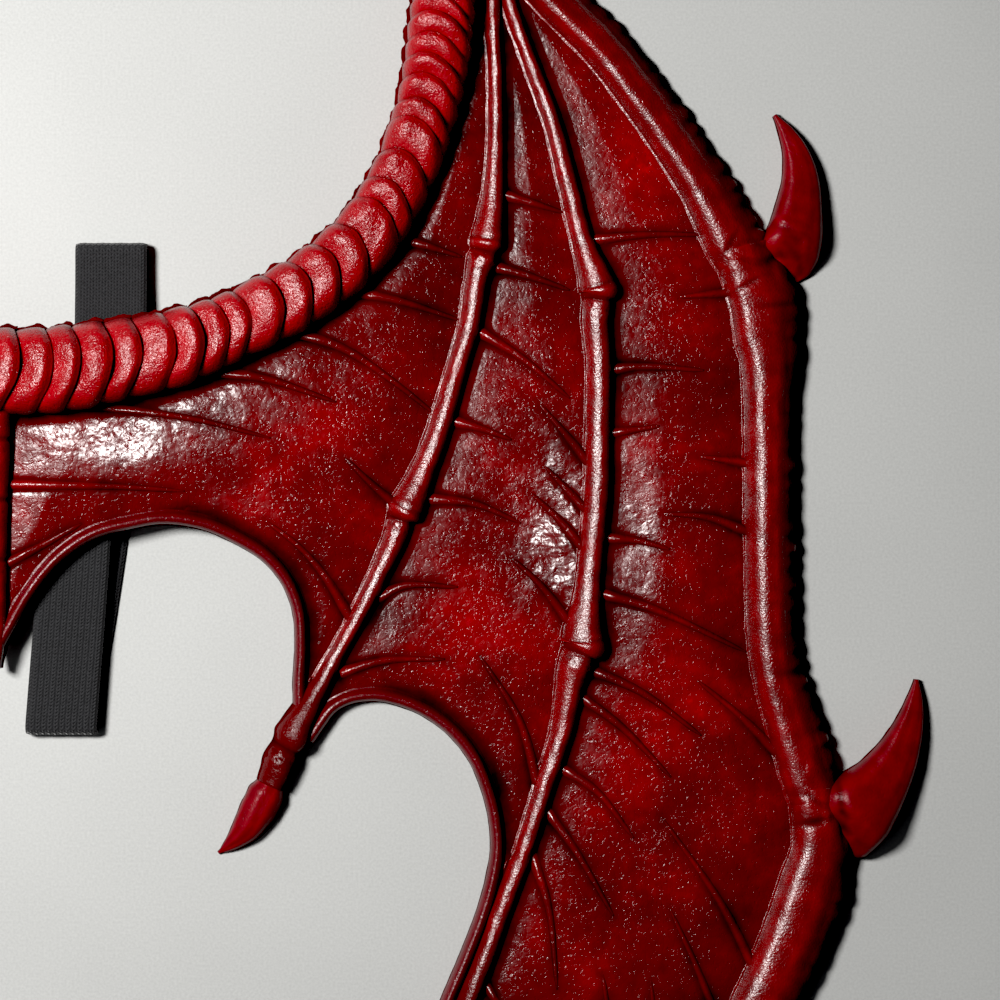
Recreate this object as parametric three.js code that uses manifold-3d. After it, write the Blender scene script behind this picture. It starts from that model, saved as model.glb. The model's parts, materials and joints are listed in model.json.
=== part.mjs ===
/*
 * A pair of costume dragon wings, cast in painted foam, lying on its flat back.
 * Millimetres: +X runs along the wearer's right wing, +Y up the back, +Z out of the decorated face.
 *
 * Each side has an arm roll of overlapping scales, a wrist knob, two finger bones, a leading bone in
 * three lengths, two horns, three claws and three veined membranes with rolled hems. A spine joins
 * the two sides, and an elastic strap on each side is glued to the back. The middle of the pair
 * arches over the straps that lie under it.
 */
import * as THREE from "three";
import { mergeVertices } from "three/addons/utils/BufferGeometryUtils.js";
import Module from "manifold-3d";

const wasm = await Module();
wasm.setup();

// Overall sizes: tables of places count in shares of these two.
const HALF_SPAN = 324; // from the middle line to the tip of the lower horn
const WING_HEIGHT = 486; // from the top of the wrist to the lowest claw, taken along Y

const CLEARANCE = 0.4; // between neighbouring forms
const ARCH_HEIGHT = 12; // how far the straps lift the middle of the pair
const ARCH_RADIUS = 175; // where the pair lies flat on its back again
const ARCH_RISE = 0.115; // place of the arch's top on the middle line

const ARM_WIDTH = 31;
const ARM_HEIGHT = 21;
const SCALE_LENGTH = 11; // pitch of the scales along the arm
const SCALE_LENGTH_AT_WRIST = 7;
const SCALE_STEP = 0.14; // share of the arm's height that the next scale drops by
const SCALE_SWEEP = 6.3; // how far a scale's edge bends back towards the middle
const SCALE_APEX = 0.25; // the edge bends back from here, as a share of the half width off the crest
const SCALES_SHORTEN = { from: 0.6, to: 0.85 }; // shares of the arm between the two pitches

// Share of its height that a form keeps where its width runs out.
const FINGER_FULLNESS = 0.35;
const HORN_FULLNESS = 0.2;
const SPINE_FULLNESS = 0.3;

const WRIST_RADIUS = 20;
const WRIST_HEIGHT = 17;

const FINGER_WIDTH = 12;
const FINGER_HEIGHT = 9;
const LEADING_WIDTH = 18;
const LEADING_HEIGHT = 11.5;

const HORN_WIDTH = 19;
const HORN_HEIGHT = 10;
const CLAW_LENGTH = 29;
const CLAW_WIDTH = 14.5;
const CLAW_HEIGHT = 8;

const SPINE_WIDTH = 16;
const SPINE_HEIGHT = 12;

const HEM_WIDTH = 5;
const HEM_HEIGHT = 6;
const MEMBRANE_THICKNESS = 3;
const BILLOW_HEIGHT = 3; // how far a panel swells between its bones
const BILLOW_REACH = 26; // from a panel's edge to its full swell
const PANEL_GRID = 34; // pitch of the points that a panel's faces are drawn through
const VEIN_WIDTH = 2.8;
const VEIN_HEIGHT = 1.6;
const VEIN_ROOT_DEPTH = 1.8; // how deep a vein is rooted in its membrane
const VEIN_TAPER = 0.75; // share of its width and height that a vein loses on the way to its tip

const STRAP_WIDTH = 25;
const STRAP_THICKNESS = 1.8;
const STRAP_FOLD = 5; // height of a strap's folds, between the middles of its two layers
const FOLD_STEPS = 5;

const COLOURS = {
  arm: { color: 0xa80012, roughness: 0.32, metalness: 0 },
  bone: { color: 0x96060c, roughness: 0.34, metalness: 0 },
  horn: { color: 0x900018, roughness: 0.3, metalness: 0 },
  membrane: { color: 0x7a0508, roughness: 0.36, metalness: 0 },
  hem: { color: 0x84060a, roughness: 0.36, metalness: 0 },
  strap: { color: 0x0b0b0d, roughness: 0.9, metalness: 0 },
};

/** Rows of a table as objects, from the names of its columns. */
function table(columns, rows) {
  const names = columns.split(" ");
  return rows.map((row) => Object.fromEntries(names.map((name, i) => [name, row[i]])));
}

// Routes: across is a share of HALF_SPAN, rise a share of WING_HEIGHT above the middle of its
// length, and wide a share of the form's own width.
const ARM_ROWS = table("across rise wide", [
  [0.0, 0.156, 1.0],
  [0.065, 0.158, 1.0],
  [0.135, 0.165, 0.98],
  [0.205, 0.176, 0.9],
  [0.275, 0.196, 0.8],
  [0.34, 0.221, 0.81],
  [0.397, 0.256, 0.79],
  [0.434, 0.297, 0.75],
  [0.461, 0.347, 0.73],
  [0.473, 0.387, 0.75],
  [0.48, 0.425, 0.77],
  [0.488, 0.46, 0.74],
  [0.5, 0.482, 0.56],
]);
const WRIST_PLACE = { across: 0.526, rise: 0.467 };

const INNER_FINGER_ROWS = table("across rise wide", [
  [0.537, 0.446, 0.47],
  [0.532, 0.425, 0.5],
  [0.535, 0.367, 0.52],
  [0.535, 0.317, 0.58],
  [0.532, 0.281, 0.73],
  [0.527, 0.255, 1.02],
  [0.525, 0.248, 1.02],
  [0.524, 0.244, 0.79],
  [0.521, 0.239, 0.93],
  [0.515, 0.225, 0.76],
  [0.508, 0.194, 0.7],
  [0.496, 0.166, 0.67],
  [0.472, 0.112, 0.73],
  [0.457, 0.086, 0.79],
  [0.445, 0.068, 0.96],
  [0.438, 0.058, 1.17],
  [0.433, 0.052, 0.82],
  [0.426, 0.037, 0.76],
  [0.41, 0.013, 0.64],
  [0.387, -0.018, 0.58],
  [0.363, -0.047, 0.55],
  [0.343, -0.072, 0.64],
  [0.326, -0.092, 0.93],
  [0.315, -0.107, 1.17],
  [0.309, -0.114, 0.88],
  [0.303, -0.122, 1.05],
  [0.297, -0.133, 0.96],
  [0.292, -0.141, 0.9],
]);
const MIDDLE_FINGER_ROWS = table("across rise wide", [
  [0.546, 0.446, 0.44],
  [0.55, 0.425, 0.47],
  [0.569, 0.387, 0.52],
  [0.596, 0.338, 0.58],
  [0.613, 0.295, 0.64],
  [0.629, 0.252, 0.7],
  [0.643, 0.225, 1.05],
  [0.647, 0.215, 1.22],
  [0.646, 0.21, 0.93],
  [0.644, 0.194, 0.88],
  [0.647, 0.166, 0.82],
  [0.646, 0.115, 0.79],
  [0.645, 0.072, 0.82],
  [0.638, 0.022, 0.82],
  [0.634, -0.007, 0.9],
  [0.63, -0.03, 1.28],
  [0.63, -0.04, 1.46],
  [0.626, -0.045, 1.05],
  [0.622, -0.053, 1.11],
  [0.616, -0.068, 0.88],
  [0.607, -0.101, 0.73],
  [0.59, -0.137, 0.64],
  [0.566, -0.187, 0.61],
  [0.542, -0.23, 0.64],
  [0.523, -0.266, 0.64],
  [0.499, -0.306, 0.7],
  [0.481, -0.335, 0.93],
  [0.467, -0.356, 1.22],
  [0.461, -0.364, 0.93],
  [0.456, -0.374, 1.08],
  [0.449, -0.387, 0.99],
]);

// The leading bone's ridge, with its steep inner flank and its long outer flank as shares of its width.
const LEADING_COLUMNS = "across rise inner outer";
const LEADING_UPPER_ROWS = table(LEADING_COLUMNS, [
  [0.559, 0.452, 0.3, 0.45],
  [0.592, 0.425, 0.3, 0.62],
  [0.644, 0.39, 0.3, 0.66],
  [0.683, 0.357, 0.3, 0.68],
  [0.718, 0.324, 0.3, 0.68],
  [0.75, 0.292, 0.33, 0.68],
  [0.771, 0.266, 0.38, 0.74],
  [0.785, 0.245, 0.38, 0.8],
  [0.793, 0.236, 0.34, 0.82],
]);
const LEADING_MIDDLE_ROWS = table(LEADING_COLUMNS, [
  [0.792, 0.238, 0.34, 0.85],
  [0.805, 0.207, 0.3, 1.08],
  [0.812, 0.184, 0.33, 0.98],
  [0.82, 0.165, 0.36, 0.8],
  [0.823, 0.137, 0.36, 0.64],
  [0.824, 0.094, 0.36, 0.6],
  [0.825, 0.022, 0.36, 0.6],
  [0.828, -0.036, 0.36, 0.6],
  [0.834, -0.065, 0.34, 0.62],
  [0.846, -0.095, 0.34, 0.72],
  [0.862, -0.13, 0.38, 0.72],
  [0.872, -0.152, 0.34, 0.74],
]);
const LEADING_LOWER_ROWS = table(LEADING_COLUMNS, [
  [0.872, -0.15, 0.34, 0.74],
  [0.875, -0.184, 0.34, 0.84],
  [0.863, -0.21, 0.36, 0.98],
  [0.847, -0.241, 0.36, 0.98],
  [0.829, -0.27, 0.34, 0.95],
  [0.81, -0.297, 0.34, 0.88],
  [0.784, -0.331, 0.32, 0.74],
  [0.756, -0.367, 0.32, 0.56],
  [0.73, -0.4, 0.36, 0.42],
  [0.718, -0.415, 0.38, 0.38],
  [0.713, -0.422, 0.3, 0.3],
  [0.704, -0.433, 0.35, 0.35],
  [0.695, -0.445, 0.32, 0.32],
]);

const UPPER_HORN_ROWS = table("across rise wide", [
  [0.833, 0.218, 0.95],
  [0.853, 0.245, 1.0],
  [0.863, 0.27, 0.9],
  [0.866, 0.295, 0.7],
  [0.861, 0.315, 0.5],
  [0.851, 0.33, 0.3],
  [0.838, 0.343, 0.07],
]);
const LOWER_HORN_ROWS = table("across rise wide", [
  [0.905, -0.173, 1.65],
  [0.93, -0.157, 1.45],
  [0.955, -0.137, 1.05],
  [0.974, -0.115, 0.75],
  [0.985, -0.095, 0.5],
  [0.99, -0.079, 0.3],
  [0.992, -0.065, 0.07],
]);

const SPINE_ROWS = table("across rise wide", [
  [0, 0.165, 1.0],
  [0, 0.108, 0.8],
  [0, 0.065, 0.66],
  [0, 0.022, 0.57],
  [0, -0.014, 0.48],
  [0, -0.04, 0.35],
  [0, -0.056, 0.12],
]);

const INNER_HEM_ROWS = table("across rise", [
  [0.0, -0.04],
  [0.036, 0.001],
  [0.067, 0.025],
  [0.103, 0.041],
  [0.14, 0.048],
  [0.178, 0.052],
  [0.221, 0.048],
  [0.259, 0.037],
  [0.289, 0.024],
  [0.311, 0.006],
  [0.323, -0.016],
  [0.325, -0.043],
  [0.323, -0.068],
  [0.324, -0.092],
]);
const MIDDLE_HEM_ROWS = table("across rise", [
  [0.333, -0.108],
  [0.344, -0.097],
  [0.358, -0.085],
  [0.378, -0.078],
  [0.406, -0.076],
  [0.434, -0.08],
  [0.464, -0.089],
  [0.491, -0.103],
  [0.513, -0.122],
  [0.527, -0.144],
  [0.535, -0.166],
  [0.537, -0.187],
  [0.532, -0.209],
  [0.522, -0.233],
  [0.503, -0.266],
  [0.478, -0.306],
  [0.466, -0.33],
]);
const OUTER_HEM_ROWS = table("across rise", [
  [0.475, -0.353],
  [0.502, -0.333],
  [0.535, -0.325],
  [0.578, -0.328],
  [0.626, -0.341],
  [0.67, -0.364],
  [0.7, -0.391],
  [0.716, -0.415],
]);

// Veins, one list of places a line, from the root beside a bone to the tip.
const veins = (lists) => lists.map((list) => table("across rise", list));
const INNER_VEINS = veins([
  [[0.436, 0.253], [0.499, 0.24]],
  [[0.383, 0.215], [0.432, 0.208], [0.499, 0.194]],
  [[0.318, 0.186], [0.373, 0.173], [0.427, 0.149], [0.473, 0.125]],
  [[0.24, 0.157], [0.292, 0.151], [0.364, 0.135]],
  [[0.004, 0.14], [0.135, 0.13], [0.216, 0.122], [0.294, 0.109]],
  [[0.004, 0.076], [0.135, 0.074], [0.202, 0.071]],
  [[0.43, 0.06], [0.402, 0.076], [0.373, 0.095]],
  [[0.38, -0.022], [0.352, 0.009], [0.322, 0.032], [0.287, 0.05]],
  [[0.004, 0.017], [0.049, 0.032], [0.092, 0.048]],
]);
const MIDDLE_VEINS = veins([
  [[0.54, 0.286], [0.61, 0.272]],
  [[0.531, 0.234], [0.572, 0.226], [0.616, 0.216]],
  [[0.516, 0.187], [0.564, 0.167], [0.616, 0.138]],
  [[0.488, 0.122], [0.521, 0.116], [0.553, 0.108]],
  [[0.46, 0.066], [0.513, 0.062], [0.563, 0.048]],
  [[0.404, -0.007], [0.437, 0.003], [0.495, 0.002]],
  [[0.367, -0.06], [0.416, -0.051], [0.481, -0.05]],
  [[0.637, 0.091], [0.61, 0.113], [0.583, 0.134]],
  [[0.637, 0.055], [0.613, 0.072], [0.589, 0.089]],
  [[0.634, 0.027], [0.605, 0.05], [0.573, 0.07]],
  [[0.619, -0.027], [0.586, 0.002], [0.553, 0.023]],
  [[0.581, -0.14], [0.562, -0.095], [0.518, -0.047]],
]);
const OUTER_VEINS = veins([
  [[0.633, 0.252], [0.702, 0.256], [0.762, 0.256]],
  [[0.797, 0.215], [0.734, 0.211]],
  [[0.651, 0.158], [0.691, 0.161], [0.761, 0.158]],
  [[0.65, 0.112], [0.713, 0.118]],
  [[0.812, 0.091], [0.756, 0.096]],
  [[0.812, 0.041], [0.767, 0.052], [0.716, 0.055]],
  [[0.645, 0.038], [0.692, 0.035], [0.724, 0.029]],
  [[0.64, -0.001], [0.707, -0.014], [0.807, -0.045]],
  [[0.631, -0.056], [0.691, -0.073], [0.758, -0.105]],
  [[0.618, -0.073], [0.67, -0.098], [0.725, -0.135]],
  [[0.594, -0.124], [0.644, -0.145], [0.685, -0.179]],
  [[0.581, -0.151], [0.621, -0.187], [0.663, -0.235]],
  [[0.568, -0.18], [0.592, -0.227], [0.602, -0.288]],
  [[0.849, -0.124], [0.805, -0.094], [0.753, -0.065]],
  [[0.826, -0.288], [0.78, -0.227], [0.714, -0.163]],
  [[0.791, -0.337], [0.756, -0.277], [0.724, -0.23]],
  [[0.516, -0.277], [0.54, -0.3], [0.564, -0.318]],
  [[0.683, -0.367], [0.664, -0.328], [0.651, -0.277]],
  [[0.717, -0.403], [0.712, -0.346], [0.703, -0.281]],
]);

// A claw, from its neck to its tip: along and aside are shares of CLAW_LENGTH.
const CLAW_ROWS = table("along aside wide high", [
  [-0.02, 0, 0.7, 0.85],
  [0.1, 0, 0.95, 1.0],
  [0.34, 0.02, 0.93, 0.95],
  [0.6, 0.07, 0.76, 0.8],
  [0.82, 0.16, 0.42, 0.5],
  [1.0, 0.27, 0.08, 0.14],
]);

// A strap, from its glued upper end to its top fold, along the ground to its low fold, and back up
// to its glued lower end. high is a share of the way from the folds up to the back of the pair.
const STRAP_UPPER_ROWS = table("across rise high", [
  [0.12, 0.14, 1.0],
  [0.12, 0.165, 1.0],
  [0.12, 0.192, 1.0],
  [0.12, 0.218, 0.6],
  [0.12, 0.233, 0.15],
  [0.12, 0.2435, 0.0],
]);
const STRAP_GROUND_ROWS = table("across rise", [
  [0.12, 0.2435],
  [0.12, 0.2],
  [0.116, 0.13],
  [0.1, 0.05],
  [0.082, -0.03],
  [0.068, -0.085],
  [0.066, -0.098],
]);
const STRAP_LOWER_ROWS = table("across rise high", [
  [0.066, -0.098, 0.0],
  [0.068, -0.08, 0.0],
  [0.074, -0.03, 0.15],
  [0.08, 0.02, 0.55],
  [0.083, 0.05, 0.92],
  [0.084, 0.075, 1.0],
  [0.084, 0.1, 1.0],
]);

// Sections: side runs from the left edge to the right edge as a share of the half width there,
// up is a share of the height.
const ROUND_SECTION = table("side up", [
  [1, 0],
  [0.86, 0.62],
  [0, 1],
  [-0.86, 0.62],
  [-1, 0],
]);
const ARM_SECTION = table("side up", [
  [1, 0],
  [0.98, 0.48],
  [0.6, 0.9],
  [0, 1],
  [-0.6, 0.9],
  [-0.98, 0.48],
  [-1, 0],
]);
const LEADING_SECTION = table("side up", [
  [1, 0],
  [0.92, 0.55],
  [0.5, 0.92],
  [0, 1],
  [-0.5, 0.72],
  [-1, 0.34],
  [-1, 0],
]);
const HEM_SECTION = table("side up", [
  [1, 0],
  [0.7, 1],
  [-0.7, 1],
  [-1, 0],
]);
const WRIST_PROFILE = table("out up", [
  [0, 0],
  [1, 0],
  [0.96, 0.45],
  [0.66, 0.86],
  [0, 1],
]);
const WRIST_SIDES = 12;

/** Height of the arched back above the ground. */
function archAt(x, y) {
  const away = Math.hypot(x, y - ARCH_RISE * WING_HEIGHT) / ARCH_RADIUS;
  return away < 1 ? ARCH_HEIGHT * Math.cos((away * Math.PI) / 2) ** 2 : 0;
}

/** A smooth route in plan through the rows of a table, carrying its other columns along. */
function routeThrough(rows) {
  const last = rows.length - 1;
  const places = rows.map((row) => new THREE.Vector3(row.across * HALF_SPAN, row.rise * WING_HEIGHT, 0));
  const curve = new THREE.CatmullRomCurve3(places, false, "centripetal");
  const at = (place) => {
    const low = Math.min(Math.floor(place), last - 1);
    const part = place - low;
    const tangent = curve.getTangent(place / last);
    return {
      centre: curve.getPoint(place / last),
      tangent,
      side: new THREE.Vector3(tangent.y, -tangent.x, 0),
      column: (name) => THREE.MathUtils.lerp(rows[low][name], rows[low + 1][name], part),
    };
  };
  return { rows, last, at, stations: rows.map((row, i) => at(i)) };
}

/** Stations an equal length apart along a route, with a pitch that may change on the way. */
function stationsAlong(route, pitchAt) {
  const stations = [];
  const step = 1 / 40;
  let length = 0;
  let next = 0;
  let before = route.at(0).centre;
  for (let place = 0; place <= route.last; place += step) {
    const here = route.at(place);
    length += here.centre.distanceTo(before);
    before = here.centre;
    if (length >= next) {
      stations.push(here);
      next = length + pitchAt(place / route.last);
    }
  }
  return stations;
}

/** A point beside a station, standing above the arched back. */
function pointBeside(station, aside, along, up) {
  const point = station.centre.clone();
  point.addScaledVector(station.side, aside).addScaledVector(station.tangent, along);
  point.z = archAt(point.x, point.y) + up;
  return point;
}

/** Indexed triangles as a solid with its faces pointing out. */
function solidFrom(positions, triangles) {
  const mesh = (winding) =>
    new wasm.Mesh({
      numProp: 3,
      vertProperties: new Float32Array(positions.flatMap((p) => [p.x, p.y, p.z])),
      triVerts: new Uint32Array(triangles.flatMap(winding)),
    });
  const solid = new wasm.Manifold(mesh(([a, b, c]) => [a, b, c]));
  return solid.volume() > 0 ? solid : new wasm.Manifold(mesh(([a, b, c]) => [a, c, b]));
}

/** A three.js geometry as a solid. */
function solidOf(geometry) {
  geometry.deleteAttribute("normal");
  geometry.deleteAttribute("uv");
  const merged = mergeVertices(geometry);
  const places = merged.getAttribute("position");
  const placeAt = (_, i) => new THREE.Vector3().fromBufferAttribute(places, i);
  const positions = Array.from({ length: places.count }, placeAt);
  const index = merged.getIndex().array;
  const triangles = Array.from({ length: index.length / 3 }, (_, i) => [
    index[3 * i],
    index[3 * i + 1],
    index[3 * i + 2],
  ]);
  return solidFrom(positions, triangles);
}

/** A closed skin over rings of points, each ring with as many points as the last. */
function loft(rings) {
  const count = rings[0].length;
  const triangles = [];
  for (let i = 0; i < rings.length - 1; i += 1) {
    for (let j = 0; j < count; j += 1) {
      const a = i * count + j;
      const b = i * count + ((j + 1) % count);
      triangles.push([a, b, a + count], [b, b + count, a + count]);
    }
  }
  const end = (rings.length - 1) * count;
  for (let j = 1; j < count - 1; j += 1) {
    triangles.push([0, j + 1, j], [end, end + j, end + j + 1]);
  }
  return solidFrom(rings.flat(), triangles);
}

/** A block with vertical walls on an outline in plan, tall enough to cut every form. */
function prism(outline) {
  const depth = 4 * (ARM_HEIGHT + ARCH_HEIGHT);
  const shape = new THREE.Shape(outline.map((p) => new THREE.Vector2(p.x, p.y)));
  const geometry = new THREE.ExtrudeGeometry(shape, { depth, bevelEnabled: false });
  return solidOf(geometry.translate(0, 0, -depth / 2));
}

/** The outline in plan of a form, grown all round by the clearance: down one side and up the other. */
function footprint(stations, leftOf, rightOf) {
  const edge = (station, aside, along) => pointBeside(station, aside, along, 0);
  const last = stations.length - 1;
  const along = (i) => (i === 0 ? -CLEARANCE : i === last ? CLEARANCE : 0);
  const right = stations.map((s, i) => edge(s, rightOf(s) + CLEARANCE, along(i)));
  const left = stations.map((s, i) => edge(s, -leftOf(s) - CLEARANCE, along(i)));
  return prism([...right, ...left.reverse()]);
}

const cutBy = (solid, cutters) => cutters.reduce((rest, cutter) => rest.subtract(cutter), solid);

/** A bone of round section with a flat back, with the block that clears it. */
function bone(rows, width, height, fullness) {
  const { stations } = routeThrough(rows);
  const half = (station) => (station.column("wide") * width) / 2;
  const high = (station) => height * THREE.MathUtils.lerp(fullness, 1, station.column("wide"));
  const ring = (station) =>
    ROUND_SECTION.map((p) => pointBeside(station, p.side * half(station), 0, p.up * high(station)));
  return { solid: loft(stations.map(ring)), cutter: footprint(stations, half, half) };
}

/** The arm roll: each scale ends in a raised edge, bent back, and the next one starts below it. */
function armRoll() {
  const route = routeThrough(ARM_ROWS);
  const pitchAt = (share) => {
    const nearWrist = THREE.MathUtils.smoothstep(share, SCALES_SHORTEN.from, SCALES_SHORTEN.to);
    return THREE.MathUtils.lerp(SCALE_LENGTH, SCALE_LENGTH_AT_WRIST, nearWrist);
  };
  const edges = stationsAlong(route, pitchAt);
  const half = (station) => (station.column("wide") * ARM_WIDTH) / 2;
  const valleyShift = SCALE_LENGTH_AT_WRIST / 6;
  const ring = (station, share, shift) =>
    ARM_SECTION.map((p) => {
      const sweep = SCALE_SWEEP * (p.side + SCALE_APEX) ** 2;
      const aside = p.side * half(station) * (1 - (1 - share) / 2);
      const high = p.up * ARM_HEIGHT * share * Math.sqrt(station.column("wide"));
      return pointBeside(station, aside, shift - sweep, high);
    });
  const rings = edges.flatMap((station) => [ring(station, 1, 0), ring(station, 1 - SCALE_STEP, valleyShift)]);
  const crests = edges.map((station) => ring(station, 1, 0));
  const right = crests.map((points, i) => points[0].clone().addScaledVector(edges[i].side, CLEARANCE));
  const left = crests.map((points, i) => points.at(-1).clone().addScaledVector(edges[i].side, -CLEARANCE));
  return { solid: loft(rings), cutter: prism([...right, ...left.reverse()]) };
}

/** The wrist: a plain rounded knob. */
function wristKnob() {
  const x = WRIST_PLACE.across * HALF_SPAN;
  const y = WRIST_PLACE.rise * WING_HEIGHT;
  const profile = WRIST_PROFILE.map((p) => new THREE.Vector2(p.out * WRIST_RADIUS, p.up * WRIST_HEIGHT));
  const knob = new THREE.LatheGeometry(profile, WRIST_SIDES).rotateX(Math.PI / 2).translate(x, y, 0);
  const outline = new THREE.Path().absarc(x, y, WRIST_RADIUS + CLEARANCE, 0, 2 * Math.PI);
  return { solid: solidOf(knob), cutter: prism(outline.getPoints(WRIST_SIDES).slice(0, -1)) };
}

/** One length of the leading bone: a ridge with a steep inner flank and a long outer one. */
function leadingBone(rows) {
  const { stations } = routeThrough(rows);
  const inner = (station) => station.column("inner") * LEADING_WIDTH;
  const outer = (station) => station.column("outer") * LEADING_WIDTH;
  const ring = (station) =>
    LEADING_SECTION.map((p) => {
      const aside = p.side * (p.side < 0 ? outer(station) : inner(station));
      return pointBeside(station, aside, 0, p.up * LEADING_HEIGHT);
    });
  return { solid: loft(stations.map(ring)), cutter: footprint(stations, outer, inner) };
}

/** A claw that carries on from the end of a bone and curls towards the middle. */
function claw(fingerRows) {
  const route = routeThrough(fingerRows);
  const end = route.at(route.last);
  const beside = (row, side, up, grow) => {
    const aside = row.aside * CLAW_LENGTH + side * ((row.wide * CLAW_WIDTH) / 2 + grow);
    return pointBeside(end, aside, row.along * CLAW_LENGTH + CLEARANCE + grow, up * row.high * CLAW_HEIGHT);
  };
  const rings = CLAW_ROWS.map((row) => ROUND_SECTION.map((p) => beside(row, p.side, p.up, 0)));
  const right = CLAW_ROWS.map((row) => beside(row, 1, 0, CLEARANCE));
  const left = CLAW_ROWS.map((row) => beside(row, -1, 0, CLEARANCE));
  return { solid: loft(rings), cutter: prism([...right, ...left.reverse()]) };
}

/** A rolled hem along the free edge of a membrane. */
function hem(rows) {
  const { stations } = routeThrough(rows);
  const half = HEM_WIDTH / 2;
  const ring = (station) => HEM_SECTION.map((p) => pointBeside(station, p.side * half, 0, p.up * HEM_HEIGHT));
  return { solid: loft(stations.map(ring)), cutter: footprint(stations, () => half, () => half) };
}

/** Distance in plan from a place to the nearest side of an outline. */
function distanceTo(outline, x, y) {
  const place = new THREE.Vector3(x, y, 0);
  const foot = new THREE.Vector3();
  return outline.reduce((least, from, i) => {
    new THREE.Line3(from, outline[(i + 1) % outline.length]).closestPointToPoint(place, true, foot);
    return Math.min(least, foot.distanceTo(place));
  }, Infinity);
}

/** A membrane: a thin swelling sheet on a grid, trimmed to its outline, with its veins raised on it. */
function membrane(outline, veinLists) {
  const box = new THREE.Box3().setFromPoints(outline);
  const size = box.getSize(new THREE.Vector3());
  const columns = Math.ceil(size.x / PANEL_GRID) + 2;
  const rows = Math.ceil(size.y / PANEL_GRID) + 2;
  const swellAt = (x, y) => {
    const share = Math.min(distanceTo(outline, x, y) / BILLOW_REACH, 1);
    return BILLOW_HEIGHT * Math.sin((share * Math.PI) / 2);
  };
  const topAt = (x, y) => archAt(x, y) + MEMBRANE_THICKNESS + swellAt(x, y);
  const level = (heightAt) =>
    Array.from({ length: (columns + 1) * (rows + 1) }, (_, i) => {
      const x = box.min.x + ((i % (columns + 1)) - 0.5) * (size.x / (columns - 1));
      const y = box.min.y + (Math.floor(i / (columns + 1)) - 0.5) * (size.y / (rows - 1));
      return new THREE.Vector3(x, y, heightAt(x, y));
    });
  const top = level(topAt);
  const bottom = level(archAt);
  const sheet = sheetBetween(top, bottom, columns, rows).intersect(prism(outline));
  return veinLists.reduce((rest, list) => rest.add(vein(list, topAt)), sheet);
}

/** A closed sheet between two levels of points on one grid. */
function sheetBetween(top, bottom, columns, rows) {
  const below = top.length;
  const triangles = [];
  const quad = (a, b, c, d) => triangles.push([a, b, c], [a, c, d]);
  const at = (i, j) => j * (columns + 1) + i;
  for (let j = 0; j < rows; j += 1) {
    for (let i = 0; i < columns; i += 1) {
      quad(at(i, j), at(i + 1, j), at(i + 1, j + 1), at(i, j + 1));
      quad(below + at(i, j), below + at(i, j + 1), below + at(i + 1, j + 1), below + at(i + 1, j));
    }
  }
  for (let i = 0; i < columns; i += 1) {
    quad(at(i, 0), below + at(i, 0), below + at(i + 1, 0), at(i + 1, 0));
    quad(at(i + 1, rows), below + at(i + 1, rows), below + at(i, rows), at(i, rows));
  }
  for (let j = 0; j < rows; j += 1) {
    quad(at(0, j + 1), below + at(0, j + 1), below + at(0, j), at(0, j));
    quad(at(columns, j), below + at(columns, j), below + at(columns, j + 1), at(columns, j + 1));
  }
  return solidFrom([...top, ...bottom], triangles);
}

/** A vein: a low ridge that narrows and sinks towards its tip. */
function vein(rows, topAt) {
  const route = routeThrough(rows);
  const ring = (station, i) => {
    const left = 1 - (VEIN_TAPER * i) / route.last;
    const half = (VEIN_WIDTH * left) / 2;
    const beside = (aside, up) => {
      const point = station.centre.clone().addScaledVector(station.side, aside);
      point.z = topAt(point.x, point.y) + up;
      return point;
    };
    return [beside(half, -VEIN_ROOT_DEPTH), beside(0, VEIN_HEIGHT * left), beside(-half, -VEIN_ROOT_DEPTH)];
  };
  return loft(route.stations.map(ring));
}

/** An elastic strap: a flat ribbon that keeps its width along X and folds back on itself twice. */
function strap() {
  const half = STRAP_THICKNESS / 2;
  const place = (row, up) => new THREE.Vector3(row.across * HALF_SPAN, row.rise * WING_HEIGHT, up);
  const held = (row) => {
    const { x, y } = place(row, 0);
    return THREE.MathUtils.lerp(half + STRAP_FOLD, lowestBackOver(x, y) - CLEARANCE - half, row.high);
  };
  const fold = (row, turn, outward) =>
    Array.from({ length: FOLD_STEPS - 1 }, (_, i) => {
      const angle = ((i + 1) / FOLD_STEPS) * Math.PI;
      const centre = place(row, half + STRAP_FOLD / 2);
      const out = new THREE.Vector3(0, outward * Math.sin(angle), turn * Math.cos(angle));
      return centre.addScaledVector(out, STRAP_FOLD / 2);
    });
  const places = [
    ...STRAP_UPPER_ROWS.map((row) => place(row, held(row))),
    ...fold(STRAP_GROUND_ROWS[0], 1, 1),
    ...STRAP_GROUND_ROWS.map((row) => place(row, half)),
    ...fold(STRAP_GROUND_ROWS.at(-1), -1, -1),
    ...STRAP_LOWER_ROWS.map((row) => place(row, held(row))),
  ];
  const rings = places.map((centre, i) => {
    const ahead = places[Math.min(i + 1, places.length - 1)].clone().sub(places[Math.max(i - 1, 0)]);
    const out = new THREE.Vector3(0, -ahead.z, ahead.y).normalize().multiplyScalar(half);
    const corner = (side, face) => {
      const point = centre.clone().addScaledVector(out, face);
      return point.setX(centre.x + (side * STRAP_WIDTH) / 2);
    };
    return [corner(1, 1), corner(1, -1), corner(-1, -1), corner(-1, 1)];
  });
  return loft(rings);
}

/** The lowest that the arched back comes over a strap's width. */
function lowestBackOver(x, y) {
  return Math.min(archAt(x - STRAP_WIDTH / 2, y), archAt(x + STRAP_WIDTH / 2, y));
}

/** Places in plan along a route. */
const line = (rows) => routeThrough(rows).stations.map((station) => station.centre);

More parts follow.
